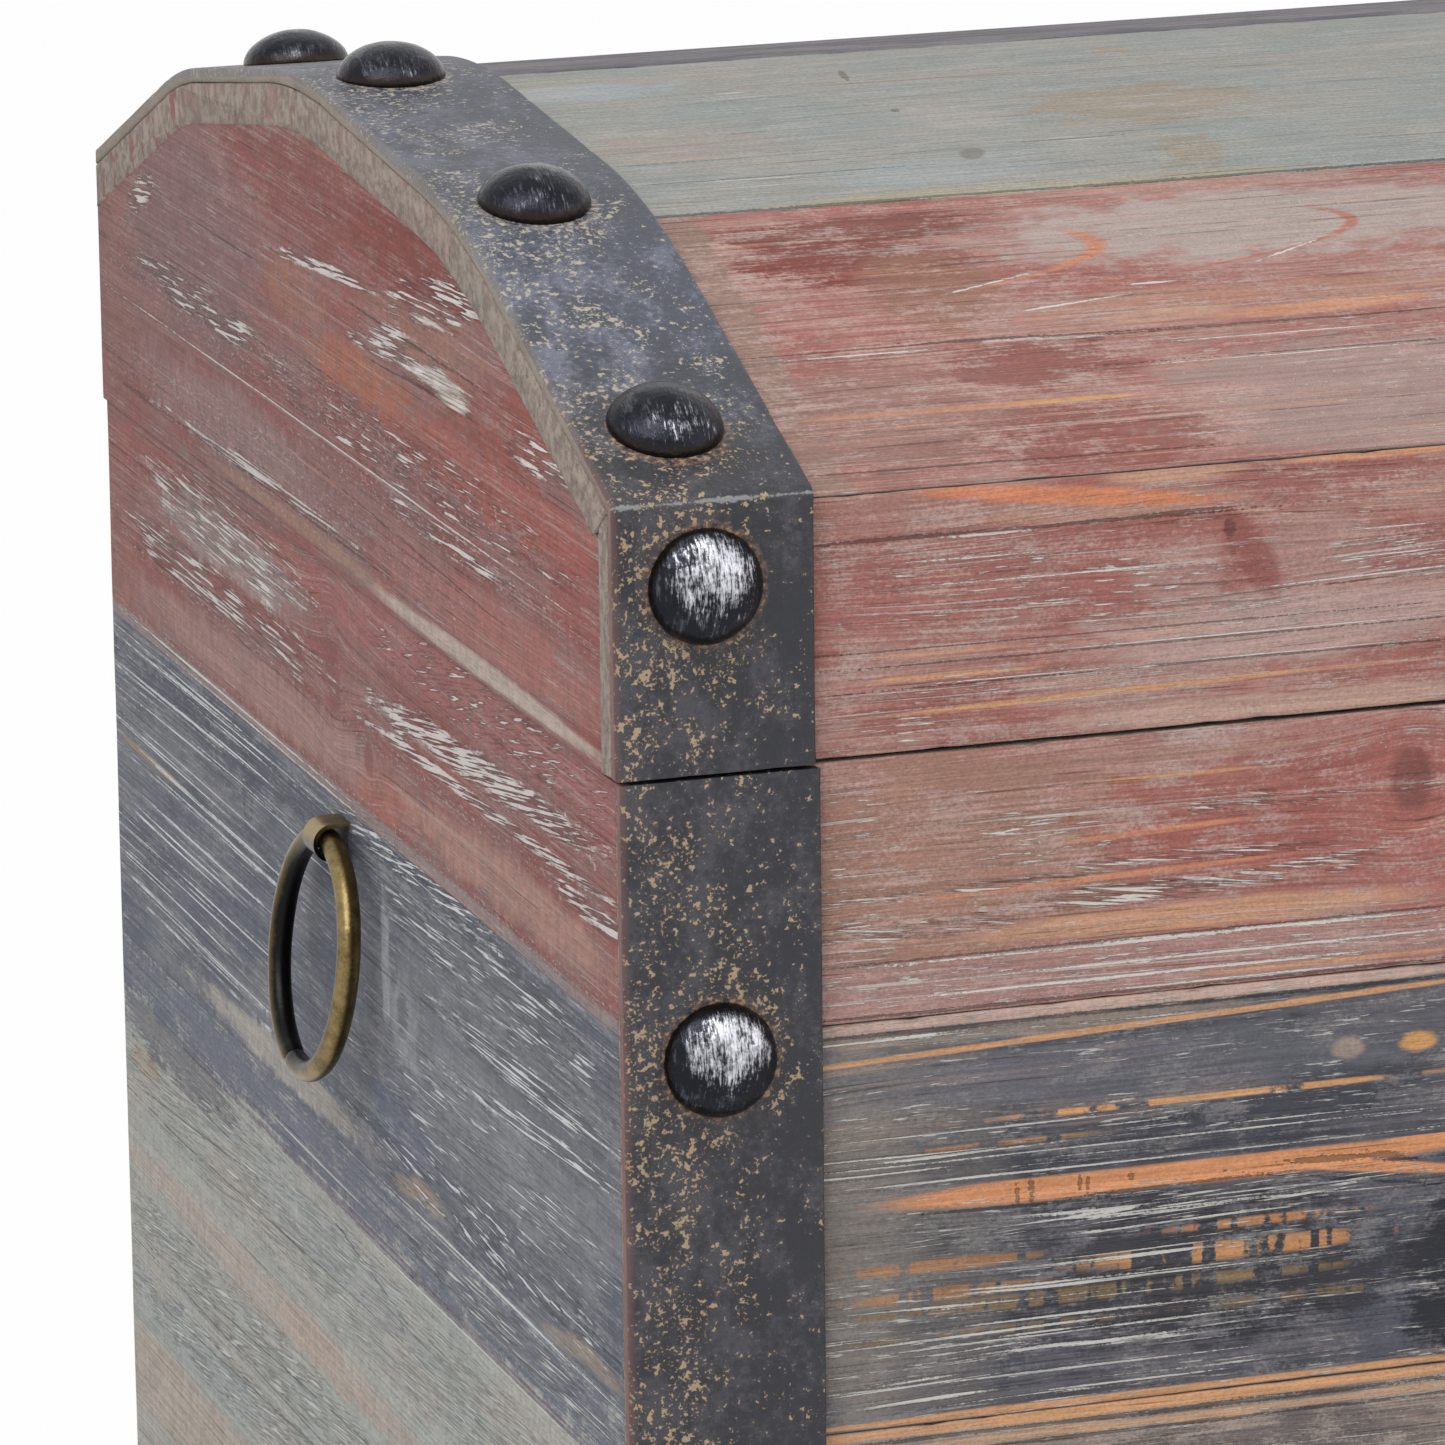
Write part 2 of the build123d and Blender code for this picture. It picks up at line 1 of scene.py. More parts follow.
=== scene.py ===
import math

import bmesh
import bpy
from bpy.props import FloatProperty, FloatVectorProperty, PointerProperty
from mathutils import Matrix, Vector, noise


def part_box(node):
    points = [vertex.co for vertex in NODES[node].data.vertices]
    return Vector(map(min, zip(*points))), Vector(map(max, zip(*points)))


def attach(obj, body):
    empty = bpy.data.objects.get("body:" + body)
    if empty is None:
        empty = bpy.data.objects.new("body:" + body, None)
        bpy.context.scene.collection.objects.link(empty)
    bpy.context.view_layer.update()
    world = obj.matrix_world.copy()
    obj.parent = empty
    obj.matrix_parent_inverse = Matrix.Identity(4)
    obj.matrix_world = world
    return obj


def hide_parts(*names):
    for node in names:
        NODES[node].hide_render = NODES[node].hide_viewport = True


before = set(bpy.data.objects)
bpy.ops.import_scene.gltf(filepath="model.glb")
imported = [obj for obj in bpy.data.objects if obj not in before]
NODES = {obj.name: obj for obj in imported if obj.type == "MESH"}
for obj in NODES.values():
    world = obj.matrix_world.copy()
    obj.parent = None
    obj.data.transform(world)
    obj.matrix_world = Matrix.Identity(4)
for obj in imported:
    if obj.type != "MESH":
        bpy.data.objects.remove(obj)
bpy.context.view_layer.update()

bl_info = {
    "name": "Wooden storage trunk",
    "version": (1, 0, 0),
    "blender": (4, 5, 0),
    "location": "3D View > Sidebar > Trunk",
    "description": "Dresses a domed wooden trunk: boards, straps, nails, rings, hinges and its studio",
    "category": "Object",
}

# Millimetres, as in the trunk's own source
RIM = 290.0
SEAM = 0.8
HALF = 330.0
LID_HALF = 331.0
DEPTH = 418.0
FRONT = -207.4
BACK = FRONT + DEPTH
STRAP = 3.5
LID_BOARD = 10.0
LIP = 6.0
LID_FOOT = RIM + SEAM
RAIL_TOP = LID_FOOT + 56.6
EYE = Vector((-HALF - 4.3, -0.15, RIM - 62.5))
LID_CHAIN = [
    (FRONT, LID_FOOT),
    (FRONT, RAIL_TOP),
    (FRONT + 0.255 * DEPTH, RAIL_TOP + 41.7),
    (FRONT + 0.556 * DEPTH, RAIL_TOP + 52.4),
    (FRONT + 0.8 * DEPTH, RAIL_TOP + 36.2),
    (BACK, RAIL_TOP + 2.1),
    (BACK, LID_FOOT),
]
JOINT_RADII = (200.0, 200.0, 130.0)
# From here outwards the lid's end boards stand under the staves
LAP = 319.0
STRAP_WIDTH = 44.0
# Nails: shares of the way along the arc, heights on the lid's rail and on the body, and how far from the end
ARC_NAILS = (0.063, 0.281, 0.532, 0.717, 0.92)
RAIL_NAIL = 41.0
BODY_NAILS = (24.0, 126.5, 229.0)
LID_NAIL_INSET = 20.0
BODY_NAIL_INSET = 21.0
# Ring handles: from the middle to the middle of the wire, the wire's radius, and the lean at rest
RING_RADIUS = 27.2
WIRE_RADIUS = 2.8
RING_LEAN = math.radians(7.9)
# Hinge screws: the hinges' middles, the distance between screws, and the rows' heights on body and lid
HINGES = (-200.0, 200.0)
SCREW_PITCH = 22.0
SCREW_ROWS = {"body": 267.9, "lid": 312.9}
LEAF = 2.0
# The photograph's camera: metres, then degrees to the right, up and over
CAMERA_PLACE = (-0.863746, -1.888669, 0.741738)
CAMERA_TURN = (18.34, -13.98, -0.70)
CAMERA_LENS = 218.59


def tone(red, green, blue):
    """A colour as a screen shows it, from 0 to 255, made linear."""
    return tuple(
        c / 255 / 12.92 if c <= 10 else ((c / 255 + 0.055) / 1.055) ** 2.4 for c in (red, green, blue)
    )


# Lines and sections, in millimetres


def offset_chain(distances):
    """Corners of the lid's section with each side moved outwards by its own distance."""
    moved = []
    for (y0, z0), (y1, z1), distance in zip(LID_CHAIN, LID_CHAIN[1:], distances):
        length = math.hypot(y1 - y0, z1 - z0)
        shift = Vector((-(z1 - z0), y1 - y0)) / length * distance
        moved.append((Vector((y0, z0)) + shift, Vector((y1, z1)) + shift))
    corners = [moved[0][0]]
    for (a, b), (c, d) in zip(moved, moved[1:]):
        along, other = b - a, d - c
        det = along.x * other.y - along.y * other.x
        corners.append(a + along * (((c - a).x * other.y - (c - a).y * other.x) / det))
    corners.append(moved[-1][1])
    return corners


def rounded(corner, before, after, radius, steps):
    """Points of the arc that rounds a corner, from its start to its end."""
    inwards = (before - corner).normalized()
    onwards = (after - corner).normalized()
    half = inwards.angle(onwards) / 2
    centre = corner + (inwards + onwards).normalized() * (radius / math.sin(half))
    start = corner + inwards * (radius / math.tan(half)) - centre
    finish = corner + onwards * (radius / math.tan(half)) - centre
    turn = math.atan2(start.x * finish.y - start.y * finish.x, start.dot(finish))
    points = []
    for n in range(steps + 1):
        c, s = math.cos(turn * n / steps), math.sin(turn * n / steps)
        points.append(centre + Vector((start.x * c - start.y * s, start.x * s + start.y * c)))
    return points


def finer(points, step):
    """The same line with no two points further apart than a step."""
    line = [points[0]]
    for a, b in zip(points, points[1:]):
        count = max(1, math.ceil((b - a).length / step))
        line += [a + (b - a) * (n / count) for n in range(1, count + 1)]
    return line


def dome_line(distances, crease):
    """The section's line at a distance from the wood for each side, and where its joints are on it."""
    corners = offset_chain(distances)
    radii = [crease] + [radius + distances[1] for radius in JOINT_RADII] + [0.0]
    line, joints = [corners[0]], []
    for n in range(1, 6):
        if radii[n - 1] > 0:
            steps = 12 if radii[n - 1] > 20 else 6
            arc = rounded(corners[n], corners[n - 1], corners[n + 1], radii[n - 1], steps)
            joints.append(len(line) + steps // 2)
            line += arc
        else:
            joints.append(len(line))
            line.append(corners[n])
    line.append(corners[6])
    return line, joints


def place_on(line, point):
    """How far along a line the point nearest to a place lies, and how far off the place is."""
    best, reach = (0.0, 1e9), 0.0
    for a, b in zip(line, line[1:]):
        along = b - a
        share = min(1.0, max(0.0, (point - a).dot(along) / along.length_squared))
        off = (point - a - along * share).length
        if off < best[1] - 1e-6:
            best = (reach + share * along.length, off)
        reach += along.length
    return best


def eased(corner, before, after, radius):
    """A rounded corner, with a point on each side that keeps its wear narrow."""
    arc = rounded(corner, before, after, radius, 3)
    room = radius / math.tan((before - corner).angle(after - corner) / 2) + 1.3
    toward, onward = (before - corner).normalized(), (after - corner).normalized()
    return [corner + toward * room] + arc + [corner + onward * room]


def at_length(line, reach):
    """The point of a line at a distance from its start, and the line's direction there."""
    for a, b in zip(line, line[1:]):
        length = (b - a).length
        if reach <= length:
            return a + (b - a) * (reach / length), (b - a).normalized()
        reach -= length
    return line[-1], (line[-1] - line[-2]).normalized()


WOOD_LINE, WOOD_JOINTS = dome_line([0.0] * 6, 1.5)
STRAP_LINE, STRAP_JOINTS = dome_line([STRAP] * 5 + [0.0], 2.5)
ARCH_LINE = dome_line([0.8 - LIP] + [0.8 - LID_BOARD] * 4 + [0.0], 0.0)[0]
UNDER_LINE, UNDER_JOINTS = dome_line([-LID_BOARD] * 5 + [0.0], 0.0)
NAIL_LINE, NAIL_JOINTS = dome_line([STRAP] * 5 + [0.0], 0.0)
NAIL_ARC = NAIL_LINE[NAIL_JOINTS[0] : NAIL_JOINTS[4] + 1]
NAIL_REACH = sum((b - a).length for a, b in zip(NAIL_ARC, NAIL_ARC[1:]))
HOLLOW_CORNERS = offset_chain([-LID_BOARD] * 6)


# Meshes


def worn(place, seed, reach):
    """How far an arris has worn away at a place: mostly a little, with a few chips."""
    point = Vector(place) / 19.0 + Vector((seed * 7.3, seed * 2.9, seed * 5.1))
    soft = 0.5 + 0.5 * noise.noise(point)
    nick = max(0.0, noise.noise(point * 4.1) - 0.22)
    return reach * (0.4 * soft + 2.4 * nick)


def section_mesh(
    name, outline, places, span, seed, lie="x", ease=0.5, reach=0.4, step=4.0, swell=0.12, trim=None, kind=None
):
    """A section drawn out along a line, with arrises and faces that are a little uneven.

    The attribute board holds each point's place along the grain, across it and below the paint.
    Where kind is face, the grain lies in the section; where it is strap, the first number is the
    distance from the trunk's end."""
    count = len(outline)
    length = span[1] - span[0]
    middle = max(2, math.ceil((length - 4 * ease) / step))
    stations = [0.0, ease * 0.3, ease]
    stations += [2 * ease + (length - 4 * ease) * n / middle for n in range(middle + 1)]
    stations += [length - ease, length - ease * 0.3, length]
    if trim:
        stations = sorted(stations + [reach - span[0] for reach in trim[0]])
    area = sum(a.x * b.y - b.x * a.y for a, b in zip(outline, outline[1:] + outline[:1]))
    flip = 1.0 if area < 0 else -1.0
    normals, sharps = [], []
    for n, point in enumerate(outline):
        before = (point - outline[n - 1]).normalized()
        after = (outline[(n + 1) % count] - point).normalized()
        along = (before + after).normalized()
        normals.append(Vector((-along.y, along.x)) * flip)
        sharps.append(min(1.0, before.angle(after) / 0.3))
    # How far each point can move inwards before the line folds over itself
    rooms = []
    for n in range(count):
        reaches = []
        for a, b in ((n - 1, n), (n, (n + 1) % count)):
            turn = normals[a].angle(normals[b])
            reaches.append((outline[b] - outline[a]).length / max(turn, 0.01))
        rooms.append(0.7 * min(reaches))
    verts, attribute = [], []
    outer = span[0] if abs(span[0]) > abs(span[1]) else span[1]
    for station in stations:
        u = span[0] + station
        near = min(station, length - station)
        rounding = ease - math.sqrt(max(0.0, ease**2 - (ease - near) ** 2)) if near < ease else 0.0
        end = 1.0 if near < ease else 0.0
        for point, (across, below), normal, sharp, room in zip(outline, places, normals, sharps, rooms):
            spot = (u, point.x, point.y)
            wear = worn(spot, seed, reach) * max(sharp, end)
            rise = swell * noise.noise(Vector((u / 60, point.x / 22 + seed, point.y / 22)))
            moved = point + normal * (rise - min(rounding + wear, room, 0.8))
            if trim:
                moved = trim[1](u, point, moved)
            verts.append((u, moved.x, moved.y) if lie == "x" else (moved.x, u, moved.y))
            if kind == "face":
                attribute += [point.x, point.y, abs(u - outer) + wear]
            elif kind == "strap":
                attribute += [abs(outer) - abs(u), across, below + wear * 0.4]
            else:
                attribute += [u, across, below + wear + rounding * 2.0 + (1.6 if near < ease * 0.9 else 0.0)]
    rows = len(stations)
    faces = []
    for row in range(rows - 1):
        for n in range(count):
            a, b = row * count + n, row * count + (n + 1) % count
            faces.append((a, b, b + count, a + count))
    for row in (0, rows - 1):
        faces.append(tuple(row * count + n for n in range(count)))
    return new_piece(name, verts, faces, attribute)


def new_piece(name, verts, faces, attribute=None, sharp=50):
    """An object from points in millimetres, with its faces outwards and smooth between its arrises."""
    mesh = bpy.data.meshes.new(name)
    mesh.from_pydata([Vector(v) / 1000 for v in verts], [], faces)
    if attribute:
        mesh.attributes.new("board", "FLOAT_VECTOR", "POINT").data.foreach_set("vector", attribute)
    form = bmesh.new()
    form.from_mesh(mesh)
    bmesh.ops.recalc_face_normals(form, faces=form.faces)
    form.to_mesh(mesh)
    form.free()
    mesh.shade_smooth()
    mesh.set_sharp_from_angle(angle=math.radians(sharp))
    piece = bpy.data.objects.new(name, mesh)
    bpy.context.scene.collection.objects.link(piece)
    return piece


def finish_piece(piece, material, body, node):
    """Gives a piece its material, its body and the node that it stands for."""
    if material:
        piece.data.materials.clear()
        piece.data.materials.append(material)
    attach(piece, body)
    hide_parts(node)


def block_board(node, lie, face, body, material, seed, arris=0.7, ease=0.5, reach=0.4, step=4.0):
    """A straight board in the place of its node; face names the side that is painted."""
    low, high = [corner * 1000 for corner in map(Vector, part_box(node))]
    wide = (low.x, high.x) if lie == "y" else (low.y, high.y)
    around = ((wide[0], low.z), (wide[0], high.z), (wide[1], high.z), (wide[1], low.z))
    corners = [Vector(corner) for corner in around]
    outer = {"low": wide[0], "high": wide[1]}[face]
    outline = []
    for n, corner in enumerate(corners):
        radius = arris if abs(corner.x - outer) < 0.01 else 0.4
        outline += eased(corner, corners[n - 1], corners[(n + 1) % 4], radius)
    outline = finer(outline + [outline[0]], 8.0)[:-1]
    places = [(point.y, abs(point.x - outer)) for point in outline]
    span = (low.y, high.y) if lie == "y" else (low.x, high.x)
    piece = section_mesh(node + "_wood", outline, places, span, seed, lie, ease, reach, step)
    finish_piece(piece, material, body, node)
    return piece


def dress_node(node, material):
    """A CAD node keeps its shape and takes a finished material."""
    materials = NODES[node].data.materials
    for n in range(len(materials)):
        materials[n] = material


# Materials


class Wire:
    """A socket of a material's tree; sums and products of it add the Math nodes that they need."""

    def __init__(self, tree, socket):
        self.tree = tree
        self.socket = socket

    def math(self, operation, *values, clamp=False):
        node = self.tree.nodes.new("ShaderNodeMath")
        node.operation = operation
        node.use_clamp = clamp
        for socket, value in zip(node.inputs, values):
            if isinstance(value, Wire):
                self.tree.links.new(value.socket, socket)
            else:
                socket.default_value = value
        return Wire(self.tree, node.outputs[0])

    def __add__(self, other):
        return self.math("ADD", self, other)

    def __sub__(self, other):
        return self.math("SUBTRACT", self, other)

    def __rsub__(self, other):
        return self.math("SUBTRACT", other, self)

    def __mul__(self, other):
        return self.math("MULTIPLY", self, other)

    def __truediv__(self, other):
        return self.math("DIVIDE", self, other)

    def __pow__(self, other):
        return self.math("POWER", self, other)

    def __abs__(self):
        return self.math("ABSOLUTE", self)

    __radd__ = __add__
    __rmul__ = __mul__

    def low(self, other):
        return self.math("MINIMUM", self, other)

    def high(self, other):
        return self.math("MAXIMUM", self, other)

    def held(self):
        return self.math("ADD", self, 0.0, clamp=True)


def seen_share(tree):
    """1 for what the camera sees, straight, mirrored or through glass; 0 for light between surfaces."""
    path = tree.nodes.new("ShaderNodeLightPath")
    rays = [Wire(tree, path.outputs[f"Is {kind} Ray"]) for kind in ("Camera", "Glossy", "Transmission")]
    return (rays[0] + rays[1] + rays[2]).held()


class Finish:
    """A material in the making: its tree, its coordinates and its textures."""

    def __init__(self, name):
        self.material = bpy.data.materials.new(name)
        self.material.use_nodes = True
        self.tree = self.material.node_tree
        self.tree.nodes.clear()

    def node(self, kind, settings=None, inputs=None, output=0):
        """A node of a type, with its settings first and then the values or links of its sockets."""
        node = self.tree.nodes.new(kind)
        for key, value in (settings or {}).items():
            setattr(node, key, value)
        for key, value in (inputs or {}).items():
            socket = node.inputs[key]
            if isinstance(value, Wire):
                self.tree.links.new(value.socket, socket)
            elif isinstance(value, tuple) and socket.type == "RGBA":
                socket.default_value = (*value, 1.0)
            else:
                socket.default_value = value
        return Wire(self.tree, node.outputs[output])

    def split(self, vector):
        """The three numbers of a vector."""
        first = self.node("ShaderNodeSeparateXYZ", inputs={0: vector})
        node = first.socket.node
        return [Wire(self.tree, node.outputs[n]) for n in range(3)]

    def board_place(self):
        """Millimetres along the grain, across it and below the paint."""
        return self.split(self.node("ShaderNodeAttribute", {"attribute_name": "board"}, output=1))

    def object_place(self):
        """X, Y and Z in millimetres."""
        return [axis * 1000.0 for axis in self.split(self.node("ShaderNodeTexCoord", output=3))]

    def noise(self, x, y, z=0.0, detail=2.0, rough=0.5):
        """Soft noise around 0.5, with patches about one unit of its coordinates apart."""
        place = self.node("ShaderNodeCombineXYZ", inputs={"X": x, "Y": y, "Z": z})
        sockets = {"Vector": place, "Scale": 1.0, "Detail": detail, "Roughness": rough}
        return self.node("ShaderNodeTexNoise", inputs=sockets)

    def grain(self, place, size, detail, rough=0.5):
        """Noise that is the same in all three directions, with patches of a size in millimetres."""
        return self.noise(*(axis / size for axis in place), detail, rough)

    def rise(self, value, start, end):
        """0 up to start and 1 from end, smooth between them; end may be the lower one."""
        low, high = min(start, end), max(start, end)
        sockets = {"Value": value, "From Min": low, "From Max": high}
        sockets["To Min"], sockets["To Max"] = (0.0, 1.0) if start < end else (1.0, 0.0)
        return self.node("ShaderNodeMapRange", {"interpolation_type": "SMOOTHSTEP"}, sockets)

    def mix(self, share, first, second):
        """One colour into another."""
        return self.node("ShaderNodeMix", {"data_type": "RGBA"}, {0: share, 6: first, 7: second}, 2)

    def scaled(self, colour, share):
        """A colour made lighter or darker by a number."""
        return self.node("ShaderNodeVectorMath", {"operation": "SCALE"}, {0: colour, "Scale": share})

    def spot(self, place, wobble, mark):
        """A soft ragged ellipse: its middle, half its length and width, and its turn in degrees."""
        turn = math.radians(mark[4]) if len(mark) > 4 else 0.0
        sockets = {"Vector": place, "Location": (*mark[:2], 0.0), "Rotation": (0.0, 0.0, turn)}
        sockets["Scale"] = (*mark[2:4], 1.0)
        held = self.node("ShaderNodeMapping", {"vector_type": "TEXTURE"}, sockets)
        reach = self.node("ShaderNodeVectorMath", {"operation": "LENGTH"}, {0: held}, 1) + wobble
        sockets = {"Value": reach, "From Min": 0.75, "From Max": 1.1, "To Min": 1.0, "To Max": 0.0}
        return self.node("ShaderNodeMapRange", inputs=sockets)

    def spots(self, place, wobble, marks):
        """All the spots of a list together."""
        total = None
        for mark in marks:
            one = self.spot(place, wobble, mark)
            total = one if total is None else total.high(one)
        return total

    def bump(self, height, distance, strength):
        """A normal from a height; distance is what a height of 1 stands for, in metres."""
        sockets = {"Height": height, "Distance": distance, "Strength": strength}
        return self.node("ShaderNodeBump", inputs=sockets)

    def surface(self, colour, roughness, normal, **steady):
        """Ends the tree in one principled surface; steady values are set on its own sockets."""
        sockets = {"Base Color": colour, "Roughness": roughness, "Normal": normal}
        sockets.update({key.replace("_", " "): value for key, value in steady.items()})
        surface = self.node("ShaderNodeBsdfPrincipled", inputs=sockets)
        end = self.tree.nodes.new("ShaderNodeOutputMaterial")
        self.tree.links.new(surface.socket, end.inputs["Surface"])
        return self.material


# One weathered paint beside its own colour: its second tone, the dust in it, the wood where it has
# gone, and how much of each
PAINTS = {
    "red": dict(
        second=tone(163, 126, 117), dust=tone(176, 152, 145), bare=tone(190, 134, 104),
        fibre=tone(214, 208, 202), dusty=0.6, worn=0.4, fibres=0.5,
    ),
    "rose": dict(
        second=tone(124, 88, 85), dust=tone(142, 118, 114), bare=tone(152, 104, 84),
        fibre=tone(214, 208, 204), dusty=0.6, worn=0.3, fibres=0.3,
    ),
    "navy": dict(
        second=tone(92, 90, 96), dust=tone(128, 125, 124), bare=tone(160, 128, 100),
        fibre=tone(206, 203, 198), dusty=0.6, worn=0.15, fibres=0.8,
    ),
    "slate": dict(
        second=tone(104, 105, 112), dust=tone(136, 135, 137), bare=tone(150, 134, 118),
        fibre=tone(214, 215, 218), dusty=0.7, worn=0.1, fibres=0.4,
    ),
    "brown": dict(
        second=tone(146, 130, 120), dust=tone(170, 156, 146), bare=tone(194, 150, 110),
        fibre=tone(214, 208, 202), dusty=0.5, worn=0.7, fibres=0.6,
    ),
    "sage": dict(
        second=tone(159, 156, 150), dust=tone(170, 167, 162), bare=tone(172, 154, 140),
        fibre=tone(200, 200, 196), dusty=0.5, worn=0.25, fibres=0.25,
    ),
    "mist": dict(
        second=tone(148, 146, 140), dust=tone(162, 160, 156), bare=tone(162, 142, 120),
        fibre=tone(196, 196, 193), dusty=0.6, worn=0.3, fibres=0.3,
    ),
    "dark": dict(
        second=tone(112, 108, 112), dust=tone(132, 126, 126), bare=tone(160, 132, 110),
        fibre=tone(190, 186, 182), dusty=0.5, worn=0.3, fibres=0.5,
    ),
    "bare": dict(
        second=tone(156, 132, 108), dust=tone(178, 164, 146), bare=tone(188, 150, 112),
        fibre=tone(200, 186, 166), dusty=0.4, worn=0.5, fibres=0.15,
    ),
}


def chosen(name):
    """A colour as the user has set it."""
    return tuple(getattr(bpy.context.scene.trunk_colours, name))


def wood(name, paint, seed, run=1.0, marks=None):
    """Weathered paint on brushed fir. run stretches the fine grain along the board."""
    p = dict(PAINTS[paint], main=chosen(paint))
    marks = marks or {}
    f = Finish(name)
    u, v, below = f.board_place()
    here = f.node("ShaderNodeCombineXYZ", inputs={"X": u, "Y": v})
    w = below * 0.25 + seed * 3.7
    wave = f.noise(u / (100 * run), v / 26, w, 1.0)
    flow = v + (wave - 0.5) * 5.0
    for u0, v0, long, wide in (mark[:4] for mark in marks.get("knot", [])):
        du, dv = (u - u0) * (0.45 / long), (v - v0) * (0.5 / wide)
        flow = flow - (v - v0) * 0.5 / (1.0 + du * du + dv * dv)
    fine = f.noise(u / (36 * run), flow / 0.62, w, 4.0, 0.62)
    ring = f.noise(u / (150 * run), flow / 3.4, w + 5.0, 2.0, 0.55)
    blot = f.noise(u / 52, flow / 17, w + 9.0, 4.0, 0.66)
    dust = f.noise(u / 15, flow / 6.5, w + 13.0, 4.0, 0.72)
    dash = f.noise(u / (7.5 * run), flow / 0.42, w + 17.0, 2.0)
    comb = f.noise(u / (55 * run), flow / 0.8, w + 19.0, 2.0, 0.4)
    mottle = f.noise(u / (0.9 * run), v / 0.75, w + 21.0, 3.0, 0.7)
    saw = f.noise(u / (0.9 * run), v / 24, w + 25.0, 3.0, 0.6)
    brush = f.noise(u / 3.6, v / 7.5, w + 41.0, 4.0, 0.75) if run > 1.5 else dust
    ragged = (dust - 0.5) * 1.6 + (brush - 0.5) * 0.8 + (fine - 0.5) * 1.0 + (mottle - 0.5) * 0.6
    tight = (dust - 0.5) * 0.8 + (fine - 0.5) * 1.1 + (mottle - 0.5) * 0.4
    broken = (fine - 0.5) * 3.0 + (mottle - 0.5) * 2.0

    def over(mask, kind, edge):
        return mask.high(f.spots(here, edge, marks[kind])) if marks.get(kind) else mask

    # Paint in two tones, with the board's own patches
    colour = f.mix(f.rise(blot + (fine - 0.5) * 0.3, 0.6, 0.4), p["second"], p["main"])
    for mark, patch_tone, share in marks.get("tint", []):
        colour = f.mix(f.spot(here, ragged, mark) * share, colour, patch_tone)
    dusty = f.rise(dust * 0.5 + brush * 0.5 + (fine - 0.5) * 0.4 + (mottle - 0.5) * 0.4, 0.48, 0.7) * p["dusty"]
    colour = f.mix(dusty, colour, p["dust"])

    # Wood where the paint has worn off: in thin lines, in patches, and in rows cut across by the saw
    gone = f.rise(ring + (fine - 0.5) * 0.6, 0.62, 0.72) * f.rise(blot, 0.42, 0.56) * p["worn"]
    colour = f.mix(gone, colour, p["bare"])
    for mark, bare_tone, share in marks.get("bare", []):
        colour = f.mix(f.spot(here, tight, mark) * share, colour, bare_tone)
    for mark, bare_tone, share, step in marks.get("cells", []):
        cut = f.rise(f.noise(u / step, v / 30, w + 31.0, 1.0) + (mottle - 0.5) * 0.2, 0.42, 0.5)
        colour = f.mix(f.spot(here, tight, mark) * cut * share, colour, bare_tone)
    for tip, middle, bend, thick, reach, bare_tone in marks.get("loop", []):
        back = tip - u - (v - middle) * (v - middle) * (1 / bend) + (fine - 0.5) * 3.0
        line = f.rise(abs(back), thick, thick * 0.3) * f.rise(tip - u, reach, reach * 0.1)
        line = line * f.rise(v, middle + 8, middle + 4)
        colour = f.mix(line * 0.85, colour, bare_tone)
    for top, places, bare_tone in marks.get("wedge", []):
        body = f.spots(here, tight * 0.3, places) * f.rise(v + (fine - 0.5) * 0.6, top + 0.1, top - 0.1)
        colour = f.mix(body * 0.97, colour, f.mix(f.rise(ring, 0.35, 0.65), f.scaled(bare_tone, 0.92), bare_tone))
    grain = f.rise(fine, 0.34, 0.66) * 0.26 + f.rise(mottle, 0.34, 0.66) * 0.24 + f.rise(dash, 0.6, 0.4) * 0.06
    grain = grain + ring * 0.12 + saw * 0.1 + (f.rise(brush, 0.64, 0.36) * 0.24 if run > 1.5 else 0.04)
    colour = f.scaled(colour, (0.55 if run > 1.5 else 0.6) + grain)

    # Knots, stains and cracks
    if marks.get("knot"):
        knot = f.spots(here, (dust - 0.5) * 0.8, marks["knot"])
        colour = f.mix(knot * 0.7, colour, f.scaled(marks["knot_tone"], 0.3 + mottle * 0.9 + fine * 0.5))
    crack = f.rise(comb, 0.34, 0.27) * f.rise(dust, 0.62, 0.4) * 0.8
    crack = over(crack, "crack", broken)
    colour = f.mix(crack * 0.7, colour, f.scaled(colour, 0.3))
    if marks.get("stain"):
        colour = f.mix(f.spots(here, ragged, marks["stain"]) * 0.75, colour, f.scaled(colour, 0.42))

    # Raised pale fibres: short ones, long ones combed by the brush, and torn ones that lie aslant, with a painted
    # shadow beside the combed and torn ones
    patch = f.rise(ring + (dust - 0.5) * 0.8, 0.44, 0.6) * p["fibres"]
    patch = over(patch, "fibre", ragged)
    fibre = f.rise(dash + (mottle - 0.5) * 0.14, 0.6, 0.66) * patch
    combed = f.spots(here, ragged, marks["comb"]) if marks.get("comb") else patch * 0.5
    fibre = fibre.high(f.rise(comb + (mottle - 0.5) * 0.16, 0.6, 0.65) * combed)
    shade = f.rise(comb, 0.5, 0.58) * combed * 0.3
    for mark, slope, long, thick, least in marks.get("torn", []):
        strand = f.noise(u / long, (v - u * slope) / thick, w + 37.0, 2.0, 0.4) + (mottle - 0.5) * 0.12
        within = f.spot(here, ragged, mark)
        fibre = fibre.high(f.rise(strand, least, least + 0.05) * within)
        shade = shade.high(f.rise(strand, least - 0.12, least - 0.04) * within * 0.5)
    if marks.get("speckle"):
        fibre = fibre.high(f.rise(mottle, 0.56, 0.66) * f.spots(here, ragged, marks["speckle"]) * 0.5)
    fibre = over(fibre, "line", broken)
    # Painted shadow beside the raised fibres
    colour = f.mix(shade, colour, f.scaled(colour, 0.35))
    for mark, slope in marks.get("flake", []):
        strand = f.noise(u / 26, (v - u * slope) / 0.6, w + 43.0, 3.0, 0.6)
        # Painted shadow under each flake: a larger dark spot set a little lower across the grain
        under = (mark[0], mark[1] - 0.5, mark[2] * 1.12, mark[3] * 1.35, *mark[4:])
        colour = f.mix(f.spot(here, tight * 1.8, under) * 0.6, colour, f.scaled(colour, 0.35))
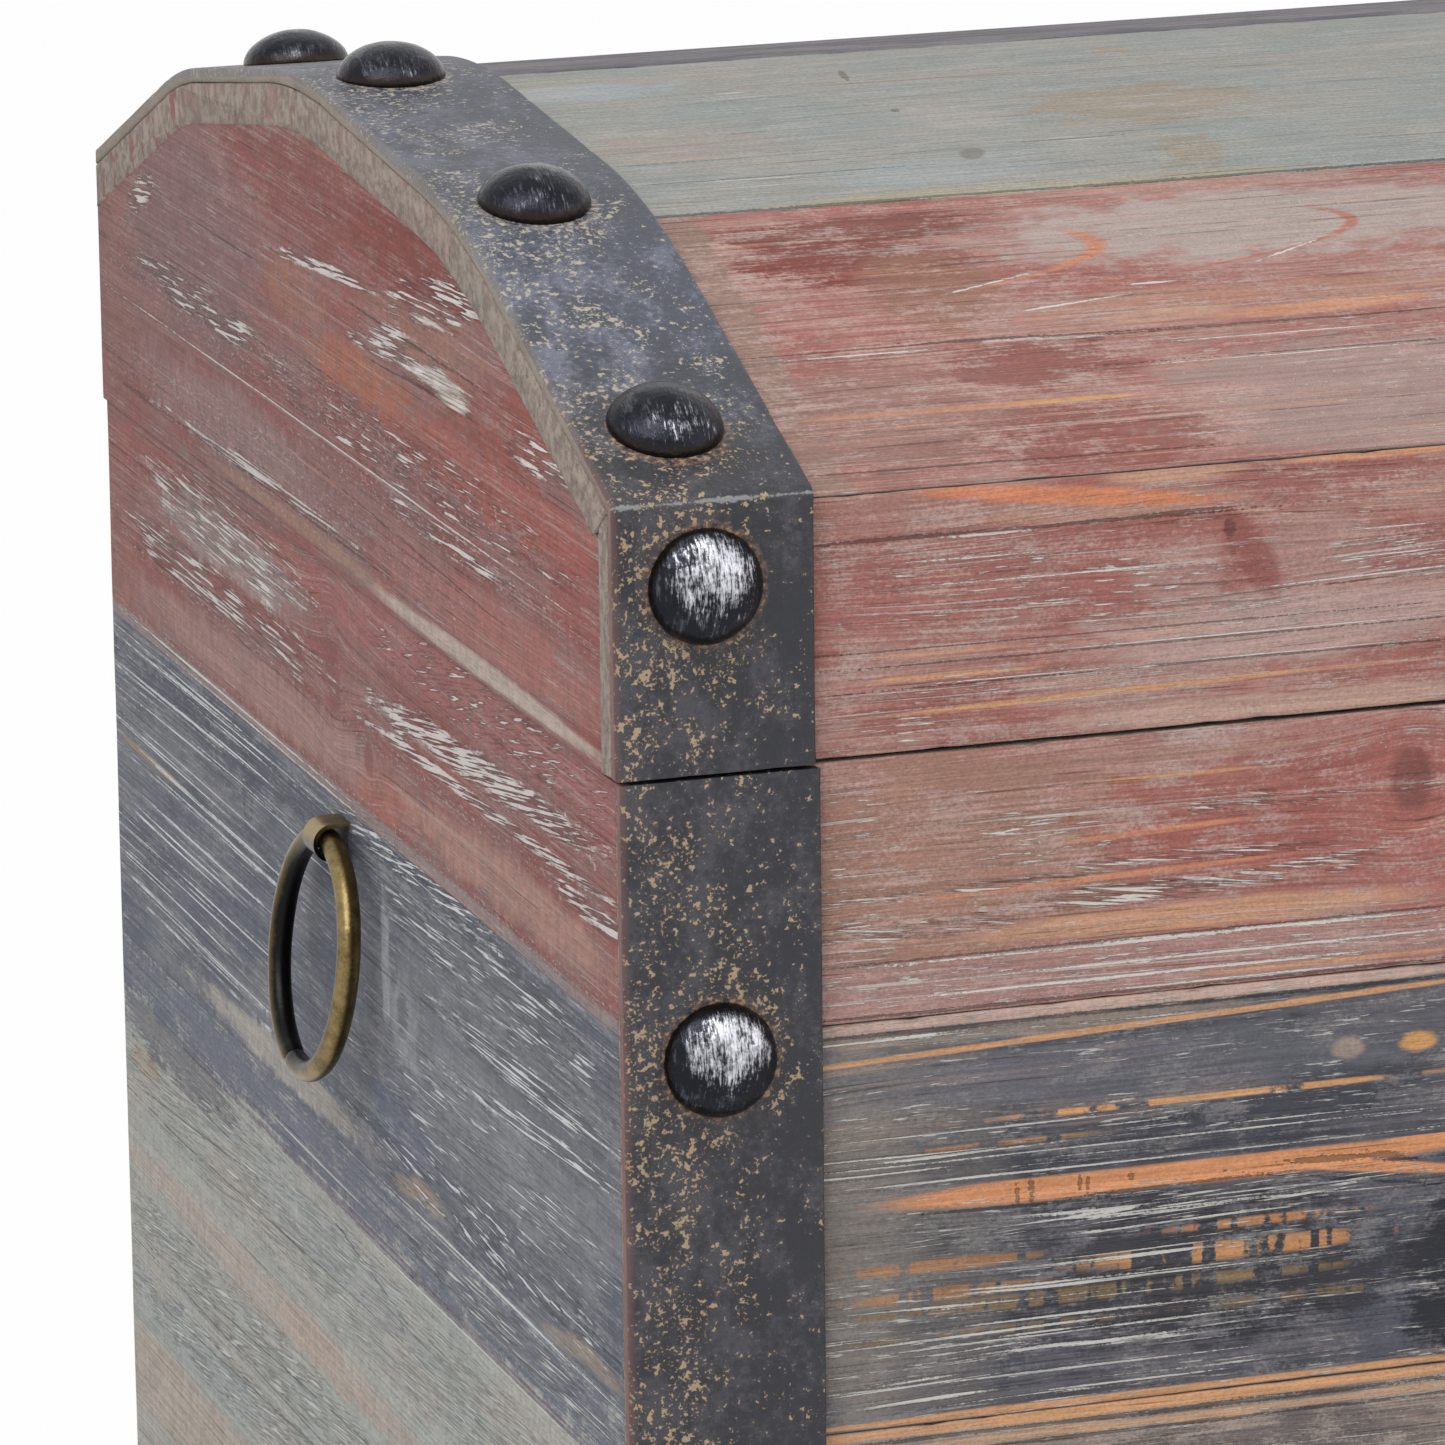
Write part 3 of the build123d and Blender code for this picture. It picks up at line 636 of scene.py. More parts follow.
        torn = f.mix(f.rise(strand, 0.36, 0.58), tone(146, 128, 120), tone(204, 196, 188))
        colour = f.mix(f.spot(here, tight * 1.8, mark), colour, torn)
    colour = f.mix(fibre * 0.85, colour, p["fibre"])

    # Bare, greyer wood below the paint: on chips, edges, ends and inside
    cut = f.noise(v / 3.2, below / 3.2, u / 14 + seed, 4.0, 0.7)
    raw = f.mix(f.rise(cut, 0.36, 0.62), tone(124, 110, 102), tone(158, 145, 134))
    raw = f.scaled(raw, 0.72 + mottle * 0.5)
    if marks.get("drip"):
        run_off = f.noise(v / 5, below / 11, seed, 3.0, 0.6)
        run_tone = f.scaled(tone(132, 84, 78), 0.7 + mottle * 0.6)
        raw = f.mix(f.rise(run_off, 0.5, 0.62) * marks["drip"], raw, run_tone)
    painted = f.rise(below + (mottle - 0.5) * 0.8, 1.0, 0.4)
    colour = f.mix(painted, raw, colour)

    height = fine * 0.6 + ring * 0.3 + fibre * 0.9 - crack * 1.3 - shade * 0.8 + saw * 0.15 + mottle * 0.6
    normal = f.bump(height, 0.0007, 0.8)
    roughness = 0.58 + mottle * 0.2 + dusty * 0.1
    return f.surface(colour, roughness, normal, Specular_IOR_Level=0.35)


# Pieces


def lid_board(node, first, last, seed, material, span=(-LID_HALF, LID_HALF), offset=0.0, trim=None):
    """A stave or rail of the lid: the wood between two joints of the dome."""
    a = WOOD_JOINTS[first - 1] if first else 0
    b = WOOD_JOINTS[last - 1] if last < 6 else len(WOOD_LINE) - 1
    outer = WOOD_LINE[a : b + 1]
    if first == 5:
        # The back rail stands under the last stave
        outer = [UNDER_LINE[UNDER_JOINTS[4]]] + outer[1:]
        inner = HOLLOW_CORNERS[5:]
    else:
        inner = UNDER_LINE[UNDER_JOINTS[first - 1] if first else 0 : UNDER_JOINTS[last - 1] + 1]
    # Points that a corner's easing reaches would fold the line back on itself
    clear = [p for p in outer[1:-1] if min((p - outer[0]).length, (p - outer[-1]).length) > 3.0]
    face = [outer[0], *clear, outer[-1]]
    outline = eased(face[0], inner[0], face[1], 0.5) + face[1:-1]
    outline += eased(face[-1], face[-2], inner[-1], 0.5)
    outline += eased(inner[-1], outer[-1], inner[-2], 0.2) + inner[-2:0:-1]
    outline += eased(inner[0], inner[1], outer[0], 0.2)
    outline = finer(outline + [outline[0]], 8.0)[:-1]
    places = []
    for point in outline:
        across, below = place_on(outer, point)
        places.append((across + offset, below))
    piece = section_mesh(node + "_wood", outline, places, span, seed, trim=trim)
    finish_piece(piece, material, "lid", node)


def rail_lap(u, point, moved):
    """The front rail is thinner at its ends, where the end boards lap over it."""
    if abs(u) > LAP and point.x > FRONT + LIP:
        return Vector((FRONT + LIP, point.y))
    return moved


def lid_end(side, seed, material):
    """The end board of the lid, an arch with its grain from front to back."""
    node = "lid_end_left" if side < 0 else "lid_end_right"
    corners = ARCH_LINE[:]
    outline = eased(corners[0], corners[-1], corners[1], 0.2)
    outline += corners[1:-1] + eased(corners[-1], corners[-2], corners[0], 0.2)
    outline = finer(outline + [outline[0]], 7.0)[:-1]
    # Towards the back the lower edge closes down on the body's rim
    for point in outline:
        if point.y < LID_FOOT + 0.25:
            share = min(1.0, max(0.0, (point.x + 30.0) / 60.0))
            point.y -= 0.35 + 0.5 * share * share * (3.0 - 2.0 * share)
    face = LID_HALF - 0.2
    span = (-face, -LAP) if side < 0 else (LAP, face)
    places = [(0.0, 0.0)] * len(outline)
    piece = section_mesh(node + "_wood", outline, places, span, seed, ease=0.15, reach=0.1, kind="face")
    finish_piece(piece, material, "lid", node)


def strap_piece(node, side, lid, material):
    """One strap: over the dome, or down the front of the body."""
    if lid:
        end = STRAP_JOINTS[4]
        outer = STRAP_LINE[: end + 1]
        under = WOOD_LINE[: WOOD_JOINTS[4] + 1]
        outline = outer + list(reversed(under))
        shift, half = 0.0, LID_HALF
    else:
        outer = [Vector((FRONT - STRAP, 0.0)), Vector((FRONT - STRAP, RIM))]
        outline = outer + [Vector((FRONT, RIM)), Vector((FRONT, 0.0))]
        shift, half = -RIM, HALF
    outline = finer(outline + [outline[0]], 4.0)[:-1]
    places = []
    for point in outline:
        across, below = place_on(outer, point)
        places.append((across + shift, below))
    span = (-half, STRAP_WIDTH - half) if side < 0 else (half - STRAP_WIDTH, half)
    piece = section_mesh(
        node + "_board", outline, places, span, 3 + side, ease=0.6, reach=0.25, swell=0.1, kind="strap"
    )
    finish_piece(piece, material, "lid" if lid else "body", node)


# Geometry Nodes: what stands on the straps and hinge leaves again and again


class Tree:
    """A Geometry Nodes tree with named inputs, for one shape placed on points that carry a facing."""

    def __init__(self, name, inputs):
        self.group = bpy.data.node_groups.new(name, "GeometryNodeTree")
        face = self.group.interface
        face.new_socket("Geometry", in_out="INPUT", socket_type="NodeSocketGeometry")
        for label, kind, value in inputs:
            face.new_socket(label, in_out="INPUT", socket_type=kind).default_value = value
        face.new_socket("Geometry", in_out="OUTPUT", socket_type="NodeSocketGeometry")
        self.entry = self.group.nodes.new("NodeGroupInput")
        self.end = self.group.nodes.new("NodeGroupOutput")

    def given(self, label):
        return self.entry.outputs[label]

    def node(self, kind, settings=None, inputs=None, output=0):
        node = self.group.nodes.new(kind)
        for key, value in (settings or {}).items():
            setattr(node, key, value)
        for key, value in (inputs or {}).items():
            if isinstance(value, bpy.types.NodeSocket):
                self.group.links.new(value, node.inputs[key])
            else:
                node.inputs[key].default_value = value
        return node.outputs[output]

    def maths(self, operation, *values):
        return self.node("ShaderNodeMath", {"operation": operation}, dict(enumerate(values)))

    def on_points(self, shape):
        """The shape on every point, turned to its facing and twisted at random, made real."""
        facing = self.node("GeometryNodeInputNamedAttribute", {"data_type": "FLOAT_VECTOR"}, {"Name": "facing"})
        aligned = self.node("FunctionNodeAlignRotationToVector", {"axis": "Z"}, {"Vector": facing})
        sockets = {2: 0.0, 3: 6.283, "Seed": self.given("Seed")}
        twist = self.node("FunctionNodeRandomValue", {"data_type": "FLOAT"}, sockets, 1)
        turn = self.node("ShaderNodeCombineXYZ", inputs={"Z": twist})
        turned = self.node("FunctionNodeRotateRotation", {"rotation_space": "LOCAL"}, {0: aligned, 1: turn})
        points = self.node("GeometryNodeMeshToPoints", inputs={"Mesh": self.given("Geometry")})
        sockets = {"Points": points, "Instance": shape, "Rotation": turned}
        laid = self.node("GeometryNodeInstanceOnPoints", inputs=sockets)
        return self.node("GeometryNodeRealizeInstances", inputs={"Geometry": laid})

    def close(self, geometry, material):
        smooth = self.node("GeometryNodeSetShadeSmooth", inputs={0: geometry})
        done = self.node("GeometryNodeSetMaterial", inputs={0: smooth, "Material": material})
        self.group.links.new(done, self.end.inputs[0])


def nail_tree(material):
    """Domed nail heads: a cap with a rolled rim and shallow hammer dents, closed below."""
    length = "NodeSocketFloat"
    sizes = [("Diameter", length, 0.025), ("Dome", length, 0.008), ("Dent", length, 0.0003)]
    t = Tree("nail_heads", [*sizes, ("Seed", "NodeSocketInt", 4)])
    dome = t.given("Dome")
    ball = t.node("GeometryNodeMeshUVSphere", inputs={"Segments": 44, "Rings": 30, "Radius": 1.0})
    place = t.node("GeometryNodeInputPosition")
    x, y, z = (t.node("ShaderNodeSeparateXYZ", inputs={0: place}, output=n) for n in range(3))
    radius = t.maths("MULTIPLY", t.given("Diameter"), 0.5)
    around = t.maths("SQRT", t.maths("ADD", t.maths("MULTIPLY", x, x), t.maths("MULTIPLY", y, y)))
    around = t.maths("MINIMUM", around, 1.0)
    square = t.maths("MULTIPLY", around, around)
    cap = t.maths("SUBTRACT", 1.0, t.maths("MULTIPLY", square, 0.86))
    cap = t.maths("MULTIPLY", t.maths("POWER", cap, 0.72), t.maths("MULTIPLY", dome, 0.93))
    rim = t.maths("SQRT", t.maths("SUBTRACT", 1.0, t.maths("POWER", square, 5.0)))
    rim = t.maths("MULTIPLY", rim, t.maths("MULTIPLY", dome, 0.25))
    rim = t.maths("ADD", rim, t.maths("MULTIPLY", dome, -0.18))
    above = t.maths("GREATER_THAN", z, -0.001)
    top = t.maths("ADD", cap, rim)
    height = t.maths("SUBTRACT", t.maths("MULTIPLY", above, t.maths("ADD", top, 0.001)), 0.001)
    sockets = {"X": t.maths("MULTIPLY", x, radius), "Y": t.maths("MULTIPLY", y, radius), "Z": height}
    spread = t.node("ShaderNodeCombineXYZ", inputs=sockets)
    sockets = {"Geometry": ball, "Name": "rimward", "Value": square}
    kept = t.node("GeometryNodeStoreNamedAttribute", {"data_type": "FLOAT"}, sockets)
    cup = t.node("GeometryNodeSetPosition", inputs={"Geometry": kept, "Position": spread})
    real = t.on_points(cup)
    sockets = {"Vector": t.node("GeometryNodeInputPosition"), "Scale": 170.0, "Detail": 1.0}
    dent = t.node("ShaderNodeTexNoise", inputs=sockets)
    push = t.maths("MULTIPLY", t.maths("SUBTRACT", dent, 0.62), t.given("Dent"))
    sockets = {0: t.node("GeometryNodeInputNormal"), "Scale": push}
    shift = t.node("ShaderNodeVectorMath", {"operation": "SCALE"}, sockets)
    worn_heads = t.node("GeometryNodeSetPosition", inputs={"Geometry": real, "Offset": shift})
    t.close(worn_heads, material)
    return t.group


def screw_tree(material):
    """Countersunk screw heads with a slot, set in a hinge leaf."""
    length = "NodeSocketFloat"
    t = Tree("screw_heads", [("Head", length, 0.0064), ("Slot", length, 0.0008), ("Seed", "NodeSocketInt", 7)])
    radius = t.maths("MULTIPLY", t.given("Head"), 0.5)
    depth = 0.0019
    below = t.maths("MULTIPLY", radius, 0.47)
    sockets = {"Vertices": 32, "Radius Top": radius, "Radius Bottom": below, "Depth": depth}
    cone = t.node("GeometryNodeMeshCone", inputs=sockets)
    cone = t.node("GeometryNodeTransform", inputs={0: cone, "Translation": (0.0, 0.0, -depth)})
    size = t.node("ShaderNodeCombineXYZ", inputs={"X": 0.012, "Y": t.given("Slot"), "Z": 0.0016})
    slot = t.node("GeometryNodeMeshCube", inputs={"Size": size})
    settings = {"operation": "DIFFERENCE", "solver": "EXACT"}
    head = t.node("GeometryNodeMeshBoolean", settings, {"Mesh 1": cone, "Mesh 2": slot})
    t.close(t.on_points(head), material)
    return t.group


def on_points(name, tree, places, material, values):
    """A plain mesh from a tree set on places, each a point in millimetres and the way that it faces."""
    mesh = bpy.data.meshes.new(name + "_points")
    mesh.from_pydata([Vector(point) / 1000 for point, facing in places], [], [])
    facings = mesh.attributes.new("facing", "FLOAT_VECTOR", "POINT")
    facings.data.foreach_set("vector", [c for point, facing in places for c in facing])
    piece = bpy.data.objects.new(name, mesh)
    bpy.context.scene.collection.objects.link(piece)
    modifier = piece.modifiers.new("heads", "NODES")
    modifier.node_group = tree
    sockets = {item.name: item.identifier for item in tree.interface.items_tree if item.in_out == "INPUT"}
    for label, value in values.items():
        modifier[sockets[label]] = value
    bpy.context.view_layer.update()
    seen = piece.evaluated_get(bpy.context.evaluated_depsgraph_get())
    plain = bpy.data.meshes.new_from_object(seen, depsgraph=bpy.context.evaluated_depsgraph_get())
    piece.modifiers.clear()
    piece.data = plain
    plain.name = name
    if not plain.polygons:
        raise RuntimeError(name + " has no faces")
    form = bmesh.new()
    form.from_mesh(plain)
    bmesh.ops.remove_doubles(form, verts=form.verts, dist=0.00001)
    bmesh.ops.recalc_face_normals(form, faces=form.faces)
    form.to_mesh(plain)
    form.free()
    plain.materials.clear()
    plain.materials.append(material)
    return piece


def nail_places(side, lid):
    """Where the nails of one strap stand, and which way each one faces."""
    if not lid:
        x = side * (HALF - BODY_NAIL_INSET)
        return [((x, FRONT - STRAP, height), (0.0, -1.0, 0.0)) for height in BODY_NAILS]
    x = side * (LID_HALF - LID_NAIL_INSET)
    places = [((x, FRONT - STRAP, RIM + RAIL_NAIL), (0.0, -1.0, 0.0))]
    for share in ARC_NAILS:
        point, along = at_length(NAIL_ARC, share * NAIL_REACH)
        places.append(((x, *point), (0.0, -along.y, along.x)))
    return places


def ring_handle(side, material):
    """A ring bent from wire, butted near its lowest point, a little uneven from the hammer."""
    node = "ring_handle_left" if side < 0 else "ring_handle_right"
    outwards = Vector((-math.sin(RING_LEAN), 0.0, -math.cos(RING_LEAN)))
    centre = EYE + outwards * RING_RADIUS
    across = Vector((0.0, 1.0, 0.0))
    through = outwards.cross(across)
    split, gap = math.radians(12.0), 0.3 / RING_RADIUS
    turns, sides = 150, 24
    verts, faces = [], []
    for n in range(turns + 1):
        share = n / turns
        angle = split + gap / 2 + (2 * math.pi - gap) * share
        radial = outwards * math.cos(angle) + across * math.sin(angle)
        end = min(n, turns - n)
        size = WIRE_RADIUS - (0.45, 0.12, 0.0)[min(end, 2)]
        for m in range(sides):
            turn = 2 * math.pi * m / sides
            out = radial * math.cos(turn) + through * math.sin(turn)
            point = centre + radial * RING_RADIUS
            dent = 0.07 * noise.noise((point + out * WIRE_RADIUS) / 6.0) - 0.035
            point = point + out * (size + dent)
            verts.append((point.x * -side, point.y, point.z))
    for n in range(turns):
        for m in range(sides):
            a, b = n * sides + m, n * sides + (m + 1) % sides
            faces.append((a, b, b + sides, a + sides))
    faces.append(tuple(range(sides)))
    faces.append(tuple(turns * sides + m for m in range(sides)))
    piece = new_piece(node + "_wire", verts, faces, sharp=60)
    finish_piece(piece, material, "ring_left" if side < 0 else "ring_right", node)


# Metals and the straps' board


def post_finish():
    """Bare wood for the upright corner posts, with the grain standing."""
    f = Finish("post_wood")
    x, y, z = f.object_place()
    fine = f.noise(x / 1.1, y / 1.1, z / 40, 3.0, 0.6)
    ring = f.noise(x / 5, y / 5, z / 160, 2.0)
    colour = f.mix(f.rise(ring, 0.4, 0.6), tone(164, 138, 110), tone(190, 164, 134))
    colour = f.scaled(colour, 0.7 + fine * 0.6)
    normal = f.bump(fine + ring * 0.5, 0.0005, 0.6)
    return f.surface(colour, 0.65 + fine * 0.15, normal, Specular_IOR_Level=0.3)


def strap_finish():
    """Blue-black painted board, flecked with gold and tan that gathers round the nails, and painted paler and
    bluer over the dome as a painted sheen.
    """
    f = Finish("strap_board_paint")
    e, v, below = f.board_place()
    x, y, z = f.object_place()
    flow = f.noise(x / 9, y / 16, z / 16, 4.0, 0.65)
    fine = f.grain((x, y, z), 1.5, 4.0, 0.7)
    fleck = f.grain((x, y, z), 1.5, 2.0, 0.6)
    cloud = f.noise(x / 12 + 7.0, y / 14, z / 14, 3.0, 0.6)
    nails = [(BODY_NAIL_INSET, height - RIM) for height in BODY_NAILS] + [(LID_NAIL_INSET, RAIL_NAIL - SEAM)]
    nails += [(LID_NAIL_INSET, RAIL_TOP - LID_FOOT + share * NAIL_REACH) for share in ARC_NAILS]
    halo = None
    for e0, v0 in nails:
        de, dv = e - e0, v - v0
        reach = (de * de + dv * dv) ** 0.5
        halo = reach if halo is None else halo.low(reach)
    near = f.rise(halo, 24.0, 13.0)
    seat = f.rise(halo, 14.6, 12.9)
    # Painted sheen: over the dome the base, the specks, the rust and the worn arris take paler tones, and the pale
    # scratches grow more; the lower part of the dome is lighter still
    dome = f.rise(v + (flow - 0.5) * 60.0, 60.0, 130.0)
    deep = f.mix(dome, chosen("strap"), tone(54, 58, 69))
    pale = f.mix(dome, tone(62, 60, 66), tone(92, 95, 109))
    low = f.rise(v + (flow - 0.5) * 50.0, 195.0, 140.0) * dome
    colour = f.mix(f.rise(flow + (fine - 0.5) * 0.7 - f.rise(e, 14.0, 40.0) * 0.12, 0.34, 0.62), deep, pale)
    colour = f.scaled(colour, (0.45 + fine * 1.1) * (1.0 - dome * 0.15 + low * 0.42))
    where = f.rise(cloud + near * 0.14 - f.rise(e, 20.0, 42.0) * 0.14 + f.rise(e, 14.0, 3.0) * 0.06, 0.4, 0.6)
    gold = f.rise(fleck + (fine - 0.5) * 0.3 + where * 0.13 + low * 0.035, 0.7, 0.77)
    grit = f.grain((x, y, z), 0.75, 2.0, 0.6)
    gold = gold.high(f.rise(grit + where * 0.13 + (cloud - 0.5) * 0.2, 0.72, 0.78))
    tan = f.mix(f.rise(fine + flow * 0.3, 0.5, 0.8), tone(118, 96, 74), tone(176, 152, 122))
    tan = f.mix(dome * 0.75, tan, tone(182, 176, 164))
    colour = f.mix(gold * 0.85, colour, tan)
    white = f.rise(grit - low * 0.025, 0.34, 0.28) * f.rise(flow, 0.36, 0.6) * (0.25 + dome * 0.6)
    colour = f.mix(white, colour, tone(170, 173, 182))
    rust = seat * f.rise(fine, 0.4, 0.6)
    colour = f.mix(rust * 0.6, colour, f.mix(dome, tone(138, 106, 84), tone(184, 174, 160)))
    # The outer arris is worn to red-brown, and the outer side is bare board
    arris = f.rise(e + (fine - 0.5) * 4.0, 1.6, 0.2)
    colour = f.mix(arris * 0.45, colour, f.mix(dome, tone(108, 72, 64), tone(128, 118, 108)))
    side = f.rise(below + (fine - 0.5) * 0.9, 0.25, 0.7) * f.rise(e, 3.0, 1.0)
    board = f.mix(f.rise(v, 40.0, 90.0), tone(126, 92, 88), tone(140, 129, 118))
    colour = f.mix(side, colour, f.scaled(board, 0.55 + flow * 0.5 + fine * 0.4))
    crease = f.rise(abs(v - (RAIL_TOP - LID_FOOT + 1.6)) + (fine - 0.5) * 2.4 + (flow - 0.5) * 3.0, 0.55, 0.1)
    colour = f.mix(crease * f.rise(below, 0.8, 0.3) * 0.6, colour, tone(160, 158, 158))
    height = fine * 0.8 + gold * 0.5 + flow * 0.5
    normal = f.bump(height, 0.0005, 0.8)
    roughness = 0.4 + fine * 0.18 + gold * 0.2 + side * 0.3
    return f.surface(colour, roughness, normal, Specular_IOR_Level=0.55)


def nail_finish():
    """Black iron with brushed steel streaks. How bright the steel shows is set by which way the surface faces, as
    a painted highlight: lighter on front-facing and upward parts and towards the middles, darker on the nails
    above the rail as painted shade.
    """
    f = Finish("nail_iron")
    x, y, z = f.object_place()
    streak = f.noise(x / 0.55, (y + z) / 5.0, (y - z) / 5.0, 4.0, 0.72)
    patch = f.grain((x, y, z), 5.0, 2.0)
    grit = f.grain((x, y, z), 0.8, 3.0, 0.6)
    rimward = f.node("ShaderNodeAttribute", {"attribute_name": "rimward"}, output=2)
    facing = f.split(f.node("ShaderNodeTexCoord", output=1))
    # Painted highlight: the streaks turn bright where the surface faces forward and up and near each middle; nails
    # above the rail are kept darker as painted shade
    forward = 0.0 - facing[1]
    painted_highlight_reach = (1.0 - rimward) * 0.2 + forward * (0.5 + facing[2] * 0.42 + facing[0] * 0.1)
    painted_highlight_reach = painted_highlight_reach - f.rise(z, RAIL_TOP, RAIL_TOP + 20.0) * 0.2
    steel_and_painted_highlight = f.rise(streak + (patch - 0.5) * 0.5 + (grit - 0.5) * 0.3 + painted_highlight_reach, 1.03, 1.37)
    dull = f.rise(streak + (patch - 0.5) * 0.8, 0.5, 0.74)
    colour = f.mix(dull * 0.6, chosen("iron"), tone(104, 105, 113))
    # Pale silver where the brushed streaks and the painted highlight meet
    colour = f.mix(steel_and_painted_highlight, colour, tone(214, 214, 222))
    colour = f.scaled(colour, 0.7 + grit * 0.6)
    colour = f.mix(f.rise(rimward, 0.84, 1.0), colour, tone(50, 44, 42))
    height = streak * 0.7 + patch * 1.6 + grit * 0.3
    normal = f.bump(height, 0.0005, 0.5)
    roughness = 0.16 + grit * 0.16 + steel_and_painted_highlight * 0.08
    return f.surface(colour, roughness, normal, Metallic=1.0)


def brass_finish():
    """Antique brass: nearly black on the inner side of the ring, dull gold towards its outer side and where the
    surface faces along X, which is a painted highlight.
    """
    f = Finish("ring_brass")
    x, y, z = f.object_place()
    patch = f.grain((x, y, z), 5, 3.0, 0.6)
    grit = f.grain((x, y, z), 0.8, 3.0, 0.6)
    across, down = y - EYE.y, z - (EYE.z - RING_RADIUS * math.cos(RING_LEAN))
    reach = (across * across + down * down * (1 / math.cos(RING_LEAN) ** 2)) ** 0.5
    outwards = (reach - RING_RADIUS) * (1 / WIRE_RADIUS)
    facing = f.split(f.node("ShaderNodeTexCoord", output=1))
    # Painted highlight: gold where the surface faces along X, added to the ring's outer side; darker towards its
    # inner side
    outer_and_painted_highlight = abs(facing[0]) * 0.75 + outwards * 0.6 + (patch - 0.5) * 0.7 + (grit - 0.5) * 0.5
    colour = f.mix(f.rise(outer_and_painted_highlight, 0.0, 0.62), tone(32, 31, 31), chosen("brass"))
    # The strongest part of the painted highlight turns pale gold
    colour = f.mix(f.rise(outer_and_painted_highlight, 0.6, 1.2), colour, tone(150, 131, 90))
    normal = f.bump(patch * 0.6 + grit * 0.5, 0.0003, 0.4)
    return f.surface(colour, 0.24 + grit * 0.2, normal, Metallic=1.0)


def zinc_finish():
    """Zinc-plated steel, dulled by handling."""
    f = Finish("zinc_steel_dulled")
    x, y, z = f.object_place()
    patch = f.grain((x, y, z), 5, 3.0, 0.6)
    grain = f.noise(x / 6.0, y / 0.5, z / 0.5, 2.0)
    colour = f.mix(patch, tone(120, 118, 112), tone(176, 176, 174))
    colour = f.scaled(colour, 0.75 + grain * 0.5)
    normal = f.bump(grain * 0.6 + patch * 0.6, 0.0002, 0.4)
    return f.surface(colour, 0.3 + patch * 0.25, normal, Metallic=1.0)


def floor_finish():
    """The white studio floor: the camera sees it lit through, and it keeps the soft shadow."""
    f = Finish("studio_floor")
    paper = f.node("ShaderNodeBsdfDiffuse", inputs={"Color": (0.86, 0.86, 0.86)})
    glow = f.node("ShaderNodeEmission", inputs={"Color": (1.0, 1.0, 1.0), "Strength": 1.0})
    both = f.node("ShaderNodeMixShader", inputs={0: seen_share(f.tree) * 0.97, 1: paper, 2: glow})
    end = f.tree.nodes.new("ShaderNodeOutputMaterial")
    f.tree.links.new(both.socket, end.inputs["Surface"])
    return f.material


